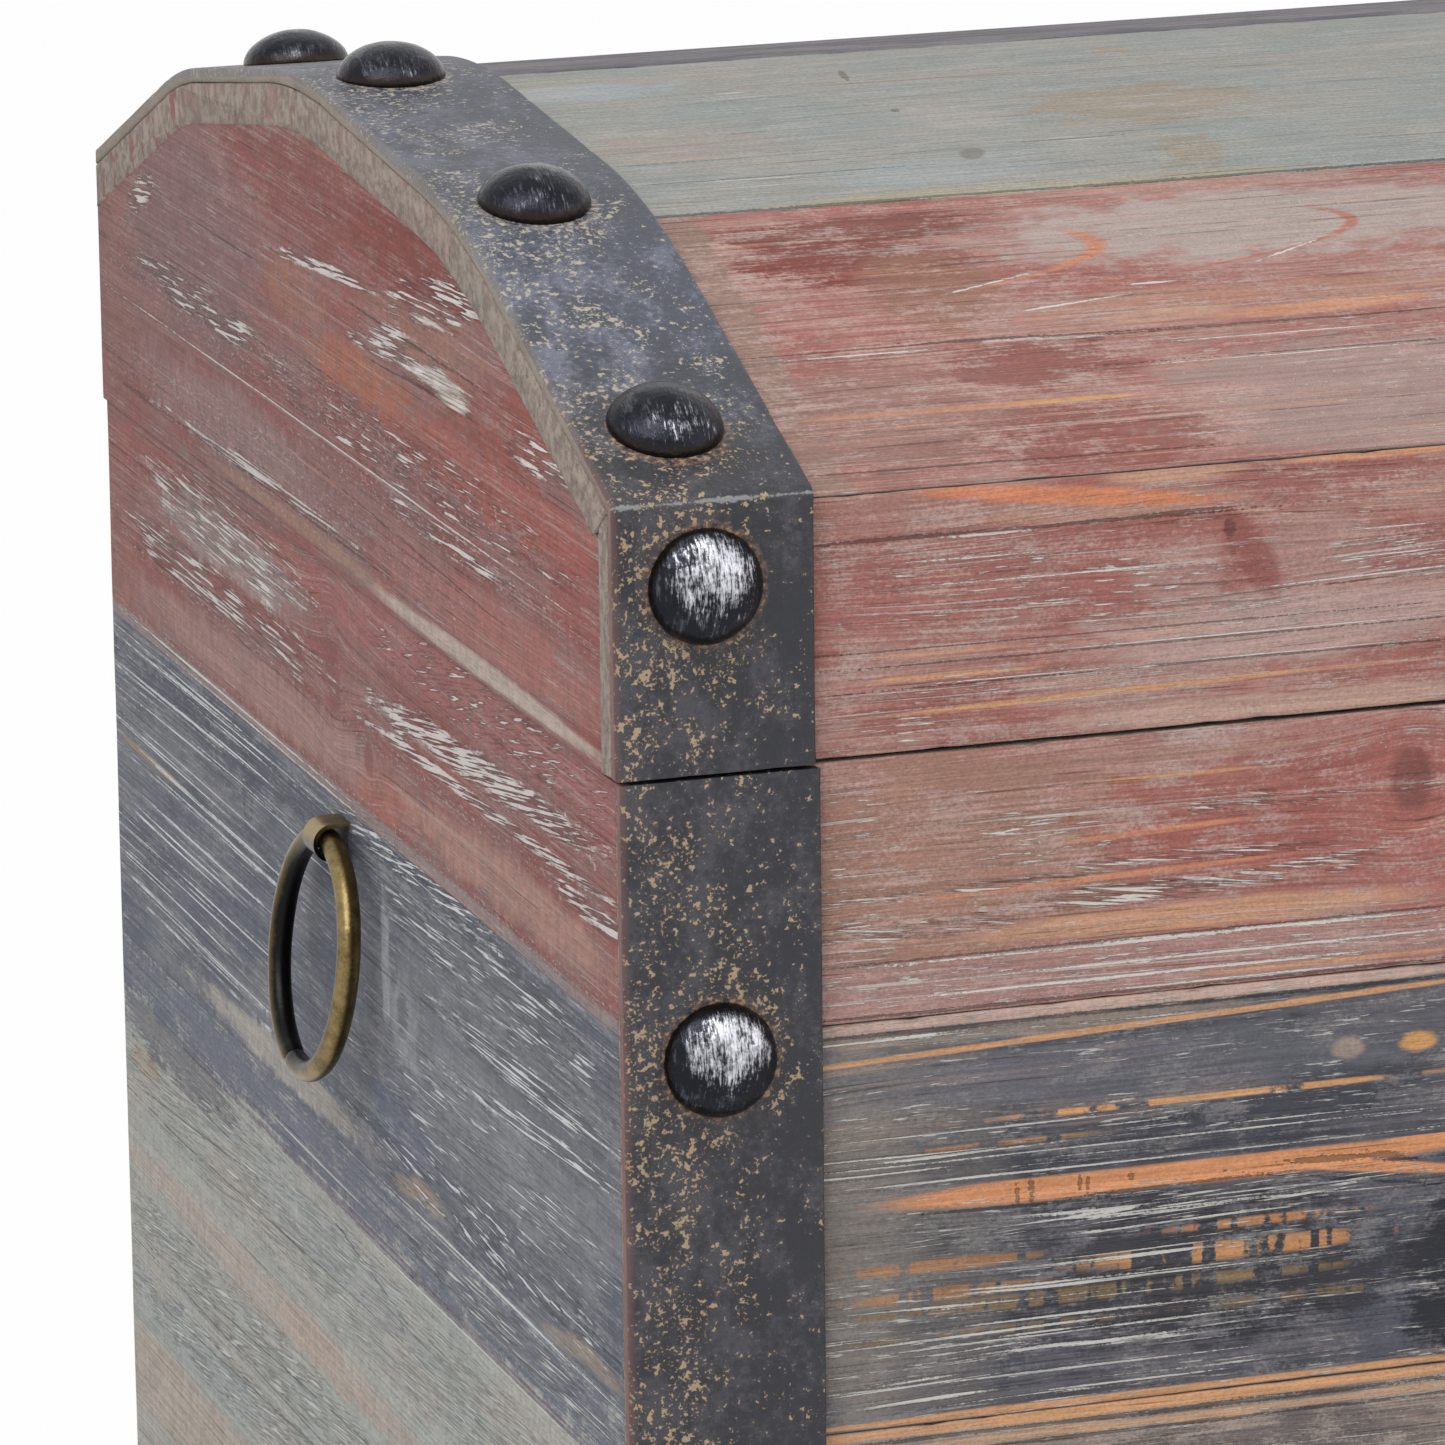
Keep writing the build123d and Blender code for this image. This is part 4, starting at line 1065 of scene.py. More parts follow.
# Marks on the boards that the eye knows again: millimetres along and across the grain, half lengths
# and half widths, then the turn in degrees
BRICK = tone(150, 88, 80)
CLAY = tone(154, 118, 103)
PINK = tone(174, 146, 139)
ORANGE = tone(200, 126, 92)
HONEY = tone(198, 148, 108)
DUSK = tone(118, 66, 60)
MAUVE = tone(114, 86, 86)
MARKS = {
    "front_plank_1": {
        "knot": [(-151, 274.5, 5.2, 7.2)],
        "knot_tone": tone(110, 66, 62),
        "tint": [
            ((-258, 264, 38, 26), CLAY, 0.85),
            ((-180, 270, 40, 13), BRICK, 0.75),
            ((-148, 256, 16, 28), tone(158, 100, 92), 0.8),
            ((-214, 239, 100, 6), tone(168, 132, 126), 0.7),
            ((-152, 273, 9, 12), tone(148, 88, 80), 0.5),
        ],
        "bare": [
            ((-198, 249.1, 52, 3.1), tone(190, 144, 116), 0.9),
            ((-205, 280.2, 20, 0.5), HONEY, 0.7),
            ((-210, 268.4, 24, 0.7, 2), tone(196, 132, 100), 0.75),
            ((-222, 259.3, 44, 0.7, 1.5), tone(194, 130, 98), 0.75),
            ((-170, 235.7, 34, 0.5), HONEY, 0.8),
            ((-195, 284.5, 26, 1.0), CLAY, 0.7),
        ],
        "torn": [
            ((-204, 262.3, 28, 1.5, -1), -0.11, 11, 0.55, 0.55),
            ((-250, 259.8, 26, 1.1, 1), -0.09, 11, 0.5, 0.56),
            ((-213, 255.2, 36, 2.2, 1.5), -0.12, 11, 0.55, 0.53),
            ((-264, 252, 22, 2.4), -0.1, 11, 0.55, 0.55),
            ((-172, 258.3, 17, 1.1, 4), -0.1, 10, 0.5, 0.53),
            ((-185, 273, 16, 2.2), -0.14, 9, 0.55, 0.58),
        ],
        "line": [
            (-206, 244.6, 66, 0.5), (-200, 240.2, 62, 0.3), (-215, 237.1, 60, 0.35),
            (-190, 234.2, 40, 0.3),
        ],
        "fibre": [(-214, 240, 100, 4), (-278, 262, 8, 28), (-236, 270, 18, 6)],
        "speckle": [(-162, 275, 0.9, 12), (-157.5, 283, 0.9, 5), (-175, 277, 0.9, 9), (-236, 268, 4, 6)],
        "crack": [(-214, 233.7, 100, 0.35), (-214, 245.3, 90, 0.25)],
    },
    "front_plank_2": {
        "tint": [
            ((-277, 185, 13, 60), tone(126, 118, 112), 0.85),
            ((-258, 185, 14, 60), tone(108, 103, 102), 0.6),
            ((-214, 217, 70, 7), tone(100, 100, 108), 0.6),
            ((-156, 162, 9, 24), tone(78, 80, 90), 0.9),
            ((-139, 162, 12, 19), tone(32, 34, 42), 0.97),
            ((-240, 228, 60, 2), tone(150, 134, 122), 0.7),
            ((-195, 168, 46, 14), tone(43, 43, 50), 0.8),
        ],
        "bare": [
            ((-214, 231.5, 110, 1.5), tone(186, 158, 146), 0.95),
            ((-214, 226.1, 98, 0.75, 2.0), HONEY, 0.95),
            ((-149, 215.6, 4.6, 2.4), tone(204, 150, 92), 0.85),
            ((-165.5, 216, 4.2, 2.6), tone(166, 146, 130), 0.65),
            ((-214, 143.3, 110, 1.0), HONEY, 0.95),
        ],
        "cells": [
            ((-198, 208.4, 56, 0.85), tone(200, 148, 100), 0.95, 9),
            ((-243, 203, 24, 0.7), tone(166, 124, 90), 0.7, 8),
            ((-258, 177.3, 22, 1.6), tone(164, 118, 84), 0.85, 3.2),
            ((-185, 179.4, 26, 1.1), tone(180, 126, 84), 0.85, 3.4),
            ((-193, 173.6, 38, 2.4), tone(188, 136, 92), 0.9, 3.2),
            ((-258, 170.9, 24, 1.5), tone(166, 122, 84), 0.85, 3.0),
            ((-222, 167.4, 58, 1.7), tone(136, 112, 80), 0.8, 3.2),
            ((-245, 161.4, 34, 1.0), tone(128, 104, 76), 0.7, 3.2),
            ((-180, 161.5, 26, 1.2), tone(116, 94, 68), 0.7, 3.2),
        ],
        "wedge": [
            (
                194.6,
                [(-232, 191.9, 42, 2.9), (-190, 192.0, 56, 2.9), (-163, 189.3, 30, 1.5, -8), (-146, 193, 16, 2.2)],
                tone(210, 144, 100),
            ),
        ],
        "torn": [((-215, 184.4, 50, 3.4, 2), 0.03, 20, 0.5, 0.56)],
        "comb": [
            (-225, 200.8, 78, 5.8), (-230, 164, 60, 14), (-235, 150, 54, 7), (-250, 228, 60, 2.6),
            (-215, 184, 60, 4),
        ],
        "line": [
            (-255, 201.6, 24, 0.3, 0.5), (-214, 200.3, 70, 0.2), (-214, 196.0, 70, 0.2),
            (-240, 206.6, 44, 0.2), (-215, 170.0, 44, 0.2), (-230, 159.2, 44, 0.22, 0.5),
            (-240, 151.0, 44, 0.22), (-220, 146.6, 26, 0.2),
        ],
        "crack": [
            (-214, 229.7, 110, 0.4), (-241.5, 191, 0.5, 2), (-238.3, 191.6, 0.6, 2.4),
            (-227.2, 191.8, 0.4, 1.8), (-225.4, 191.8, 0.4, 1.8),
            (-215.5, 192.4, 0.5, 1.2), (-170, 191.4, 9, 0.9, -3), (-156, 190.6, 5, 1.0, -10),
            (-238, 188.5, 22, 0.35, -1), (-203, 189.5, 22, 0.3, 0.5), (-163, 186.1, 24, 0.35, -9.5),
        ],
    },
    "front_plank_3": {
        "tint": [((-276, 100, 14, 60), tone(138, 128, 120), 0.8)],
        "bare": [((-214, 140.9, 110, 1.4), HONEY, 0.95), ((-200, 136.9, 110, 0.9), tone(178, 144, 118), 0.85)],
        "crack": [(-214, 138.9, 110, 0.45), (-214, 135.4, 110, 0.35)],
        "comb": [(0, 120, 330, 18), (0, 80, 330, 12)],
    },
    "lid_front_rail": {
        "knot": [(-188, 327, 11, 4.4, -57)],
        "knot_tone": tone(134, 76, 70),
        "tint": [
            ((-267, 342, 23, 5.2), tone(154, 110, 101), 0.9),
            ((-222, 339.8, 27, 3.0), tone(164, 128, 112), 0.85),
            ((-168, 342.5, 22, 3.4), tone(148, 92, 86), 0.8),
            ((-250, 327, 44, 9), tone(153, 98, 91), 0.8),
            ((-178, 311, 44, 8), PINK, 0.9),
            ((-204, 324, 10, 8), PINK, 0.45),
            ((-172, 327, 14, 8), tone(168, 140, 134), 0.45),
            ((-180, 293.4, 66, 2.6), tone(180, 148, 134), 0.85),
        ],
        "bare": [
            ((-228, 342.7, 36, 2.1, -6), ORANGE, 0.9),
            ((-205, 345.4, 16, 1.7), tone(184, 142, 118), 0.85),
            ((-160, 346.2, 24, 0.9), tone(198, 142, 106), 0.85),
            ((-257, 311.6, 18, 0.6), tone(190, 140, 110), 0.7),
            ((-256, 306.5, 20, 0.7), tone(198, 148, 114), 0.8),
            ((-222, 299.7, 52, 0.7, 1), HONEY, 0.9),
            ((-168, 300.5, 28, 0.4), tone(196, 148, 122), 0.6),
        ],
        "stain": [(-193, 333, 1.2, 2.4)],
        "crack": [
            (-240, 336.7, 54, 0.35), (-200, 337.3, 9, 0.35), (-214, 309.4, 70, 0.2),
            (-206, 304.4, 62, 0.2), (-220, 312.8, 50, 0.2), (-150, 319.4, 24, 0.25, 1.5),
        ],
        "line": [
            (-248, 336.1, 10, 0.35), (-232, 326, 24, 0.25), (-250, 331.3, 14, 0.25),
            (-156, 330.1, 14, 0.2), (-156, 324.3, 16, 0.22, 1), (-158, 320.1, 24, 0.2, 1.5),
            (-190, 309.9, 60, 0.15), (-240, 304.9, 32, 0.15), (-180, 304.9, 40, 0.15),
        ],
        "fibre": [
            (-234, 325, 42, 9), (-152, 324, 18, 6), (-240, 303, 42, 3), (-268, 297, 18, 5),
            (-205, 317, 30, 3),
        ],
    },
    "lid_stave_1": {
        "tint": [
            ((-246, 101, 34, 6), tone(118, 68, 60), 0.92),
            ((-250, 87, 29, 9), tone(120, 60, 53), 0.92),
            ((-235, 75, 14, 18), tone(138, 100, 84), 0.75),
            ((-281, 60, 5.5, 80), tone(140, 116, 104), 0.85),
            ((-150, 92, 66, 15), tone(174, 159, 153), 0.92),
            ((-172, 63, 52, 5), tone(172, 134, 116), 0.6),
            ((-222, 42, 22, 9), tone(130, 78, 71), 0.85),
            ((-218, 14, 30, 12), tone(132, 77, 70), 0.85),
            ((-146, 22, 47, 24), tone(156, 131, 124), 0.92),
            ((-262, 26, 26, 22), tone(140, 106, 98), 0.7),
        ],
        "bare": [
            ((-240, 28, 40, 1.0), tone(188, 138, 106), 0.9),
            ((-216, 27.9, 14, 0.7), tone(206, 158, 98), 0.6),
            ((-148, 56.5, 28, 2.6, 2), tone(192, 136, 102), 0.75),
            ((-188, 57.5, 16, 2.4, 2), tone(184, 144, 124), 0.75),
        ],
        "loop": [(-192, 88, 6.7, 3.6, 48, tone(190, 124, 94)), (-131, 90, 5.5, 2.6, 100, tone(172, 108, 90))],
        "crack": [
            (-221, 53, 25, 0.6, -2), (-262, 53.2, 22, 0.25), (-172, 51.7, 44, 0.3), (-165, 39.8, 38, 0.25),
            (-240, 7, 48, 0.25, -0.5),
        ],
        "stain": [(-205.5, 50.6, 2.6, 1.3)],
        "line": [
            (-217, 52, 14, 0.55, -2.5), (-258, 51.2, 16, 0.3), (-165, 38.8, 38, 0.25),
            (-170, 47, 32, 0.25), (-221, 75, 11, 0.4, 15), (-207, 64.6, 16, 0.35, 8), (-185, 70.4, 5, 0.4),
            (-150, 79.2, 9, 0.4, 22),
        ],
        "speckle": [(-150, 92, 60, 14), (-150, 20, 44, 22)],
    },
    "lid_stave_2": {
        "knot": [(-202, 26, 5.0, 3.0, 62)],
        "knot_tone": tone(112, 108, 98),
        "drip": 0.3,
        "tint": [
            ((-262, 50, 26, 11), tone(158, 141, 135), 0.5),
            ((-148, 58, 28, 17), tone(150, 130, 108), 0.55),
            ((-153, 18, 8, 13, -20), tone(144, 130, 106), 0.55),
            ((-140, 106, 6, 3.5), tone(158, 126, 98), 0.7),
            ((-215, 16, 26, 8), tone(150, 157, 158), 0.7),
            ((-270, 100, 22, 8), tone(156, 163, 168), 0.6),
            ((-195, 58, 13, 9), tone(168, 160, 156), 0.55),
            ((-200, 2, 60, 3), tone(164, 152, 124), 0.6),
        ],
        "stain": [(-206, 66.5, 0.9, 1.6, -20), (-207, 98, 0.8, 6.5, -8)],
        "bare": [
            ((-190, 92, 28, 0.4), tone(142, 118, 102), 0.8),
            ((-262, 38.4, 24, 0.5), tone(180, 150, 130), 0.8),
        ],
        "line": [
            (-252, 19.4, 26, 0.35), (-175, 31.5, 11, 0.35), (-178, 34.2, 10, 0.25), (-250, 14.4, 18, 0.25),
            (-237, 91, 5, 0.5),
        ],
        "crack": [(-200, 0.8, 130, 0.5), (-250, 20.4, 26, 0.25), (-176, 32.7, 12, 0.25), (-250, 36.2, 30, 0.2)],
    },
    "lid_stave_3": {"drip": 0.4},
    "lid_stave_4": {"drip": 0.9},
    "lid_end_left": {
        "tint": [
            ((8, 376, 80, 12), DUSK, 0.9),
            ((-64, 374, 42, 10), tone(115, 56, 49), 0.88),
            ((122, 346, 62, 27), MAUVE, 0.85),
            ((-120, 335, 90, 8), tone(140, 76, 67), 0.8),
            ((-22, 341, 50, 6), tone(150, 90, 66), 0.7),
            ((-150, 352, 36, 10, -18), tone(130, 70, 62), 0.8),
            ((-72, 359, 46, 6), tone(140, 104, 90), 0.6),
            ((30, 350, 26, 7), tone(144, 104, 86), 0.5),
            ((-125, 304, 92, 8), tone(148, 98, 92), 0.75),
            ((196, 315, 16, 40), tone(122, 80, 74), 0.7),
            ((90, 306, 80, 10), tone(140, 112, 110), 0.7),
        ],
        "bare": [
            ((-116, 293.4, 98, 2.6), tone(172, 156, 144), 0.95),
            ((30, 295, 80, 2), tone(156, 124, 106), 0.6),
        ],
        "torn": [
            ((-6, 361, 52, 1.5, -4), -0.07, 20, 0.7, 0.52),
            ((-85, 369, 40, 5.5, -9), -0.06, 16, 0.8, 0.53),
            ((-60, 353, 34, 4.4), -0.06, 20, 0.7, 0.52),
            ((-35, 350, 18, 2, -3), -0.06, 16, 0.8, 0.53),
            ((-157, 349, 24, 4), -0.04, 14, 0.7, 0.56),
            ((168, 350, 14, 4, -20), -0.1, 12, 0.8, 0.52),
            ((110, 332, 56, 5), -0.04, 14, 0.7, 0.58),
            ((-95, 316.4, 54, 2.4), -0.03, 18, 0.7, 0.53),
            ((66, 299.8, 80, 1.8, -0.6), -0.01, 30, 0.7, 0.52),
            ((-60, 328, 120, 8), -0.03, 16, 0.7, 0.62),
        ],
        "flake": [
            ((-84, 351.6, 24, 2.4, -3), -0.06), ((-98, 349.6, 12, 1.8, -4), -0.05),
            ((-79, 363.5, 12, 0.9, -2), -0.06),
        ],
        "line": [(-20, 320.2, 190, 0.25), (60, 300.4, 70, 0.3, -0.8)],
        "speckle": [(-70, 316, 145, 3.6), (10, 328, 190, 7), (60, 303, 150, 10)],
        "crack": [
            (-60, 309.4, 60, 0.3, 2), (60, 298.2, 80, 0.3), (-60, 347.2, 34, 0.35, -2),
            (-60, 356.3, 50, 0.3),
        ],
    },
    "end_left_board_1": {
        "knot": [(6.5, 264.5, 6, 10), (-22, 251, 4, 4.6)],
        "knot_tone": tone(118, 70, 68),
        "tint": [
            ((-100, 284, 150, 8), tone(142, 88, 84), 0.85),
            ((44, 284, 50, 4.4), tone(138, 82, 77), 0.9),
            ((164, 284, 46, 3.6), tone(134, 82, 76), 0.9),
            ((98, 275, 66, 8), tone(150, 131, 128), 0.9),
            ((60, 247, 140, 7), tone(148, 114, 108), 0.8),
            ((-130, 248, 84, 7), tone(158, 122, 110), 0.75),
            ((-33, 245, 19, 7), tone(148, 90, 80), 0.8),
            ((200, 255, 18, 22), tone(134, 88, 82), 0.7),
            ((0, 236.6, 420, 2.0), tone(132, 122, 122), 0.85),
        ],
        "torn": [
            ((-112, 269, 94, 4.2, -1.9), -0.15, 13, 0.54, 0.47),
            ((-110, 261.6, 98, 1.7, -0.9), -0.1, 15, 0.6, 0.46),
            ((-188, 257.5, 26, 2.6), -0.1, 15, 0.6, 0.49),
            ((-120, 283, 92, 7), -0.19, 11, 0.7, 0.62),
            ((98, 278, 70, 9), 0.02, 18, 0.6, 0.54),
            ((100, 262, 100, 6), 0.0, 20, 0.7, 0.56),
        ],
        "speckle": [(60, 255.5, 160, 1.2), (-110, 257, 92, 2.5), (0, 239, 400, 2)],
        "line": [(110, 237.4, 100, 0.3), (70, 235.6, 90, 0.35)],
    },
    "end_left_board_2": {
        "tint": [
            ((110, 228, 110, 7), tone(72, 76, 88), 0.85),
            ((-110, 231, 110, 4), tone(76, 80, 92), 0.85),
            ((-120, 206, 92, 24), tone(100, 102, 108), 0.7),
            ((-45, 175, 28, 14), tone(88, 94, 110), 0.8),
            ((130, 185, 78, 12), tone(86, 91, 104), 0.6),
            ((56, 157, 78, 4.6), tone(154, 148, 141), 0.95),
            ((84, 218, 6, 12), tone(60, 64, 76), 0.7),
            ((-110, 184, 84, 14), tone(124, 125, 130), 0.6),
            ((-46, 195, 11, 11), tone(146, 147, 150), 0.5),
            ((-32, 206, 3.4, 17), tone(166, 168, 174), 0.55),
        ],
        "bare": [
            ((-62, 158.2, 14, 3.0, 4), tone(164, 141, 118), 0.5),
            ((-46, 156.2, 12, 2.4, -5), tone(164, 141, 118), 0.45),
            ((-186, 157.4, 20, 2.6, 3), tone(160, 142, 124), 0.5),
            ((-164, 155.2, 16, 2.2, -4), tone(160, 142, 124), 0.45),
            ((172, 204, 34, 1.1), tone(162, 141, 115), 0.9),
        ],
        "stain": [(-45, 197, 4.2, 5.5)],
        "torn": [
            ((-140, 207.2, 74, 3.4, -1.2), -0.04, 28, 0.6, 0.53),
            ((-145, 197, 66, 2.6, -3.2), -0.05, 26, 0.6, 0.53),
            ((-60, 232.5, 66, 3.4), -0.1, 14, 0.7, 0.54),
            ((-90, 162, 110, 8), 0.04, 12, 0.8, 0.6),
            ((-120, 222, 90, 9), -0.03, 18, 0.6, 0.58),
            ((-100, 180, 100, 10), -0.03, 18, 0.6, 0.62),
        ],
        "comb": [(120, 214, 110, 19), (0, 230, 230, 4), (130, 178, 90, 16)],
        "line": [
            (-130, 152.0, 90, 0.4), (140, 232, 66, 0.3), (110, 230.3, 84, 0.35, -0.4),
            (145, 223.4, 68, 0.35, -0.8), (150, 217, 60, 0.3, -1),
            (130, 210, 72, 0.25), (152, 207.4, 50, 0.25), (92, 204, 52, 0.35), (130, 192.5, 62, 0.3),
            (112, 181, 72, 0.35), (130, 167, 62, 0.35),
        ],
    },
    "end_left_board_3": {
        "tint": [
            ((20, 122, 70, 9), tone(152, 157, 159), 0.6),
            ((190, 121, 14, 4), tone(152, 134, 112), 0.6),
            ((160, 133, 60, 9), tone(98, 98, 104), 0.85),
            ((0, 144.5, 600, 8.2), tone(88, 93, 107), 0.92),
            ((-60, 136, 200, 1.6), tone(92, 84, 100), 0.7),
        ],
        "torn": [((0, 118, 230, 14), -0.06, 20, 0.7, 0.6), ((-120, 145, 90, 5), -0.02, 18, 0.6, 0.58)],
        "speckle": [(60, 134.8, 180, 1.2), (130, 150.4, 90, 0.8)],
        "line": [(-110, 134.4, 90, 0.35, -0.4), (30, 141, 46, 0.3, 0.4)],
        "crack": [
            (-10, 126.8, 28, 0.35, 7), (-38, 121.8, 6, 0.3, 40), (150, 116.5, 60, 0.2, -4),
            (80, 113, 90, 0.2, -2),
        ],
    },
    "end_left_board_4": {
        "tint": [
            ((70, 93.6, 160, 6), tone(164, 148, 138), 0.6), ((26, 93, 44, 6), tone(166, 143, 128), 0.35),
            ((150, 58, 70, 8), tone(148, 156, 158), 0.6),
        ],
        "torn": [((90, 78, 140, 9), -0.1, 16, 0.8, 0.58), ((100, 60, 120, 8), -0.1, 16, 0.8, 0.58)],
        "crack": [(80, 70.4, 140, 0.2), (60, 79, 100, 0.2, -3), (100, 64, 80, 0.2, -3)],
    },
    "end_left_board_5": {
        "tint": [((150, 38, 120, 12), tone(164, 151, 140), 0.9)],
    },
}


# What a user can change


def length_of(label, what, usual, least, most):
    """A length in metres that the panel shows."""
    return FloatProperty(name=label, description=what, default=usual, min=least, max=most, unit="LENGTH")


class TrunkSizes(bpy.types.PropertyGroup):
    """Sizes of the trunk's dressing"""

    nail_diameter: length_of("Nail diameter", "Across a nail's dome", 0.025, 0.02, 0.025)
    nail_dome: length_of("Nail dome", "Height of a nail above the strap", 0.008, 0.004, 0.008)
    nail_dent: length_of("Nail dents", "Depth of the hammer marks on a nail", 0.0004, 0.0, 0.001)
    screw_slot: length_of("Screw slot", "Width of the slot in a hinge screw", 0.0008, 0.0004, 0.0012)


def colour_of(label, where, red, green, blue):
    """A colour that the panel shows."""
    usual = tone(red, green, blue)
    return FloatVectorProperty(
        name=label, description=where, default=usual, size=3, min=0.0, max=1.0, subtype="COLOR"
    )


class TrunkColours(bpy.types.PropertyGroup):
    """Colours of the trunk's paint, strap and metal"""

    red: colour_of("Red", "Front rail, top plank, first and last stave", 150, 96, 88)
    rose: colour_of("Dark red", "End boards of the lid and top board of each end", 128, 74, 69)
    navy: colour_of("Navy", "Second plank of the front and back", 62, 63, 72)
    slate: colour_of("Slate", "Second board of each end", 80, 84, 96)
    brown: colour_of("Brown", "Third plank of the front and back", 104, 96, 94)
    sage: colour_of("Sage", "Lowest plank and the lower boards of each end", 152, 155, 150)
    mist: colour_of("Pale sage", "Second stave of the lid", 140, 144, 140)
    dark: colour_of("Grey", "Third stave of the lid", 84, 82, 90)
    bare: colour_of("Bare wood", "Floor and cleats", 170, 142, 112)
    strap: colour_of("Strap", "Dark parts of the straps", 32, 33, 40)
    iron: colour_of("Iron", "Dark parts of the nails", 40, 41, 47)
    brass: colour_of("Brass", "Ring handles and their plates", 84, 72, 46)


class TrunkLight(bpy.types.PropertyGroup):
    """The studio round the trunk"""

    key: FloatProperty(name="Key light", description="Soft light from the upper left", default=26.0, unit="POWER")
    fill: FloatProperty(name="Fill light", description="Weaker light from the right", default=9.0, unit="POWER")
    room: FloatProperty(name="Room", description="Even light from all round", default=0.62, min=0.0, max=1.0)


class Step:
    """What the operators share"""

    bl_options = {"REGISTER", "UNDO"}


class TRUNK_OT_body_boards(Step, bpy.types.Operator):
    """Front and back planks and the boards of both ends"""

    bl_idname = "trunk.body_boards"
    bl_label = "Body boards"

    def execute(self, context):
        for n, paint in enumerate(("red", "navy", "brown", "sage")):
            for wall, face, seed in (("front", "low", 1 + n), ("back", "high", 11 + n)):
                node = f"{wall}_plank_{n + 1}"
                finish = wood(node + "_paint", paint, seed, 1.0, MARKS.get(node))
                block_board(node, "x", face, "body", finish, seed)
        for n, paint in enumerate(("rose", "slate", "sage", "sage", "sage")):
            for side, face, seed in (("left", "low", 21 + n), ("right", "high", 31 + n)):
                node = f"end_{side}_board_{n + 1}"
                finish = wood(node + "_paint", paint, seed, 2.6, MARKS.get(node))
                block_board(node, "y", face, "body", finish, seed, arris=0.15, reach=0.05)
        return {"FINISHED"}


class TRUNK_OT_inner_boards(Step, bpy.types.Operator):
    """The floor, its cleats and the corner posts, all bare wood"""

    bl_idname = "trunk.inner_boards"
    bl_label = "Inner boards"

    def execute(self, context):
        finish = wood("inner_wood", "bare", 41)
        for n, node in enumerate(("floor_board_1", "floor_board_2", "floor_board_3")):
            block_board(node, "x", "low", "body", finish, 51 + n, step=12.0)
        for n, node in enumerate(("floor_cleat_front", "floor_cleat_back")):
            block_board(node, "x", "low", "body", finish, 61 + n, step=12.0)
        upright = post_finish()
        for node in NODES:
            if node.startswith("corner_post"):
                dress_node(node, upright)
        return {"FINISHED"}


class TRUNK_OT_lid_boards(Step, bpy.types.Operator):
    """Staves, rails and end boards of the lid"""

    bl_idname = "trunk.lid_boards"
    bl_label = "Lid boards"

    def execute(self, context):
        rail = wood("lid_front_rail_paint", "red", 71, 1.0, MARKS.get("lid_front_rail"))
        laps = ((-LAP - 0.01, -LAP + 0.01, LAP - 0.01, LAP + 0.01), rail_lap)
        lid_board("lid_front_rail", 0, 1, 71, rail, offset=LID_FOOT, trim=laps)
        slots = ("red_wood", "sage_wood", "navy_wood", "red_wood")
        for n, (paint, slot) in enumerate(zip(("red", "mist", "dark", "red"), slots)):
            node = f"lid_stave_{n + 1}"
            finish = wood(node + "_paint", paint, 72 + n, 1.2, MARKS.get(node))
            lid_board(node, n + 1, n + 2, 72 + n, finish)
        back = wood("lid_back_rail_paint", "red", 77, 1.0)
        lid_board("lid_back_rail", 5, 6, 77, back, span=(-LAP, LAP))
        for side, name in ((-1, "lid_end_left"), (1, "lid_end_right")):
            lid_end(side, 80 + side, wood(name + "_paint", "rose", 80 + side, 2.6, MARKS.get(name)))
        return {"FINISHED"}


class TRUNK_OT_straps(Step, bpy.types.Operator):
    """The straps over the dome and down the front"""

    bl_idname = "trunk.straps"
    bl_label = "Straps"

    def execute(self, context):
        finish = strap_finish()
        for side, name in ((-1, "left"), (1, "right")):
            strap_piece("lid_strap_" + name, side, True, finish)
            strap_piece("body_strap_" + name, side, False, finish)
        return {"FINISHED"}


class TRUNK_OT_nails(Step, bpy.types.Operator):
    """The domed nails along the straps"""

    bl_idname = "trunk.nails"
    bl_label = "Nails"

    def execute(self, context):
        sizes = context.scene.trunk_sizes
        finish = nail_finish()
        tree = nail_tree(finish)
        for body, lid in (("body", False), ("lid", True)):
            for side, name in ((-1, "left"), (1, "right")):
                node = f"{body}_nails_{name}"
                values = {"Diameter": sizes.nail_diameter, "Dome": sizes.nail_dome}
                values.update({"Dent": sizes.nail_dent, "Seed": 5 + side})
                piece = on_points(node + "_heads", tree, nail_places(side, lid), finish, values)
                finish_piece(piece, None, body, node)
        return {"FINISHED"}


class TRUNK_OT_rings(Step, bpy.types.Operator):
    """The ring handles and their eyes"""

    bl_idname = "trunk.rings"
    bl_label = "Ring handles"

    def execute(self, context):
        finish = brass_finish()
        for side, name in ((-1, "left"), (1, "right")):
            ring_handle(side, finish)
            dress_node("ring_eye_" + name, finish)
        return {"FINISHED"}


class TRUNK_OT_hinges(Step, bpy.types.Operator):
    """Hinges, their pins and screws, and the lid stay"""

    bl_idname = "trunk.hinges"
    bl_label = "Hinges and stay"

    def execute(self, context):
        sizes = context.scene.trunk_sizes
        finish = zinc_finish()
        for node in NODES:
            if node.startswith(("hinge_body_leaf", "hinge_lid_leaf", "hinge_pin", "lid_stay")):
                dress_node(node, finish)
        tree = screw_tree(finish)
        for body, height in SCREW_ROWS.items():
            across = [middle + n * SCREW_PITCH for middle in HINGES for n in (-1, 0, 1)]
            places = [((x, BACK + LEAF, height), (0.0, 1.0, 0.0)) for x in across]
            node = f"hinge_{body}_screws"
            piece = on_points(node + "_heads", tree, places, finish, {"Slot": sizes.screw_slot, "Seed": 3})
            finish_piece(piece, None, body, node)
        return {"FINISHED"}


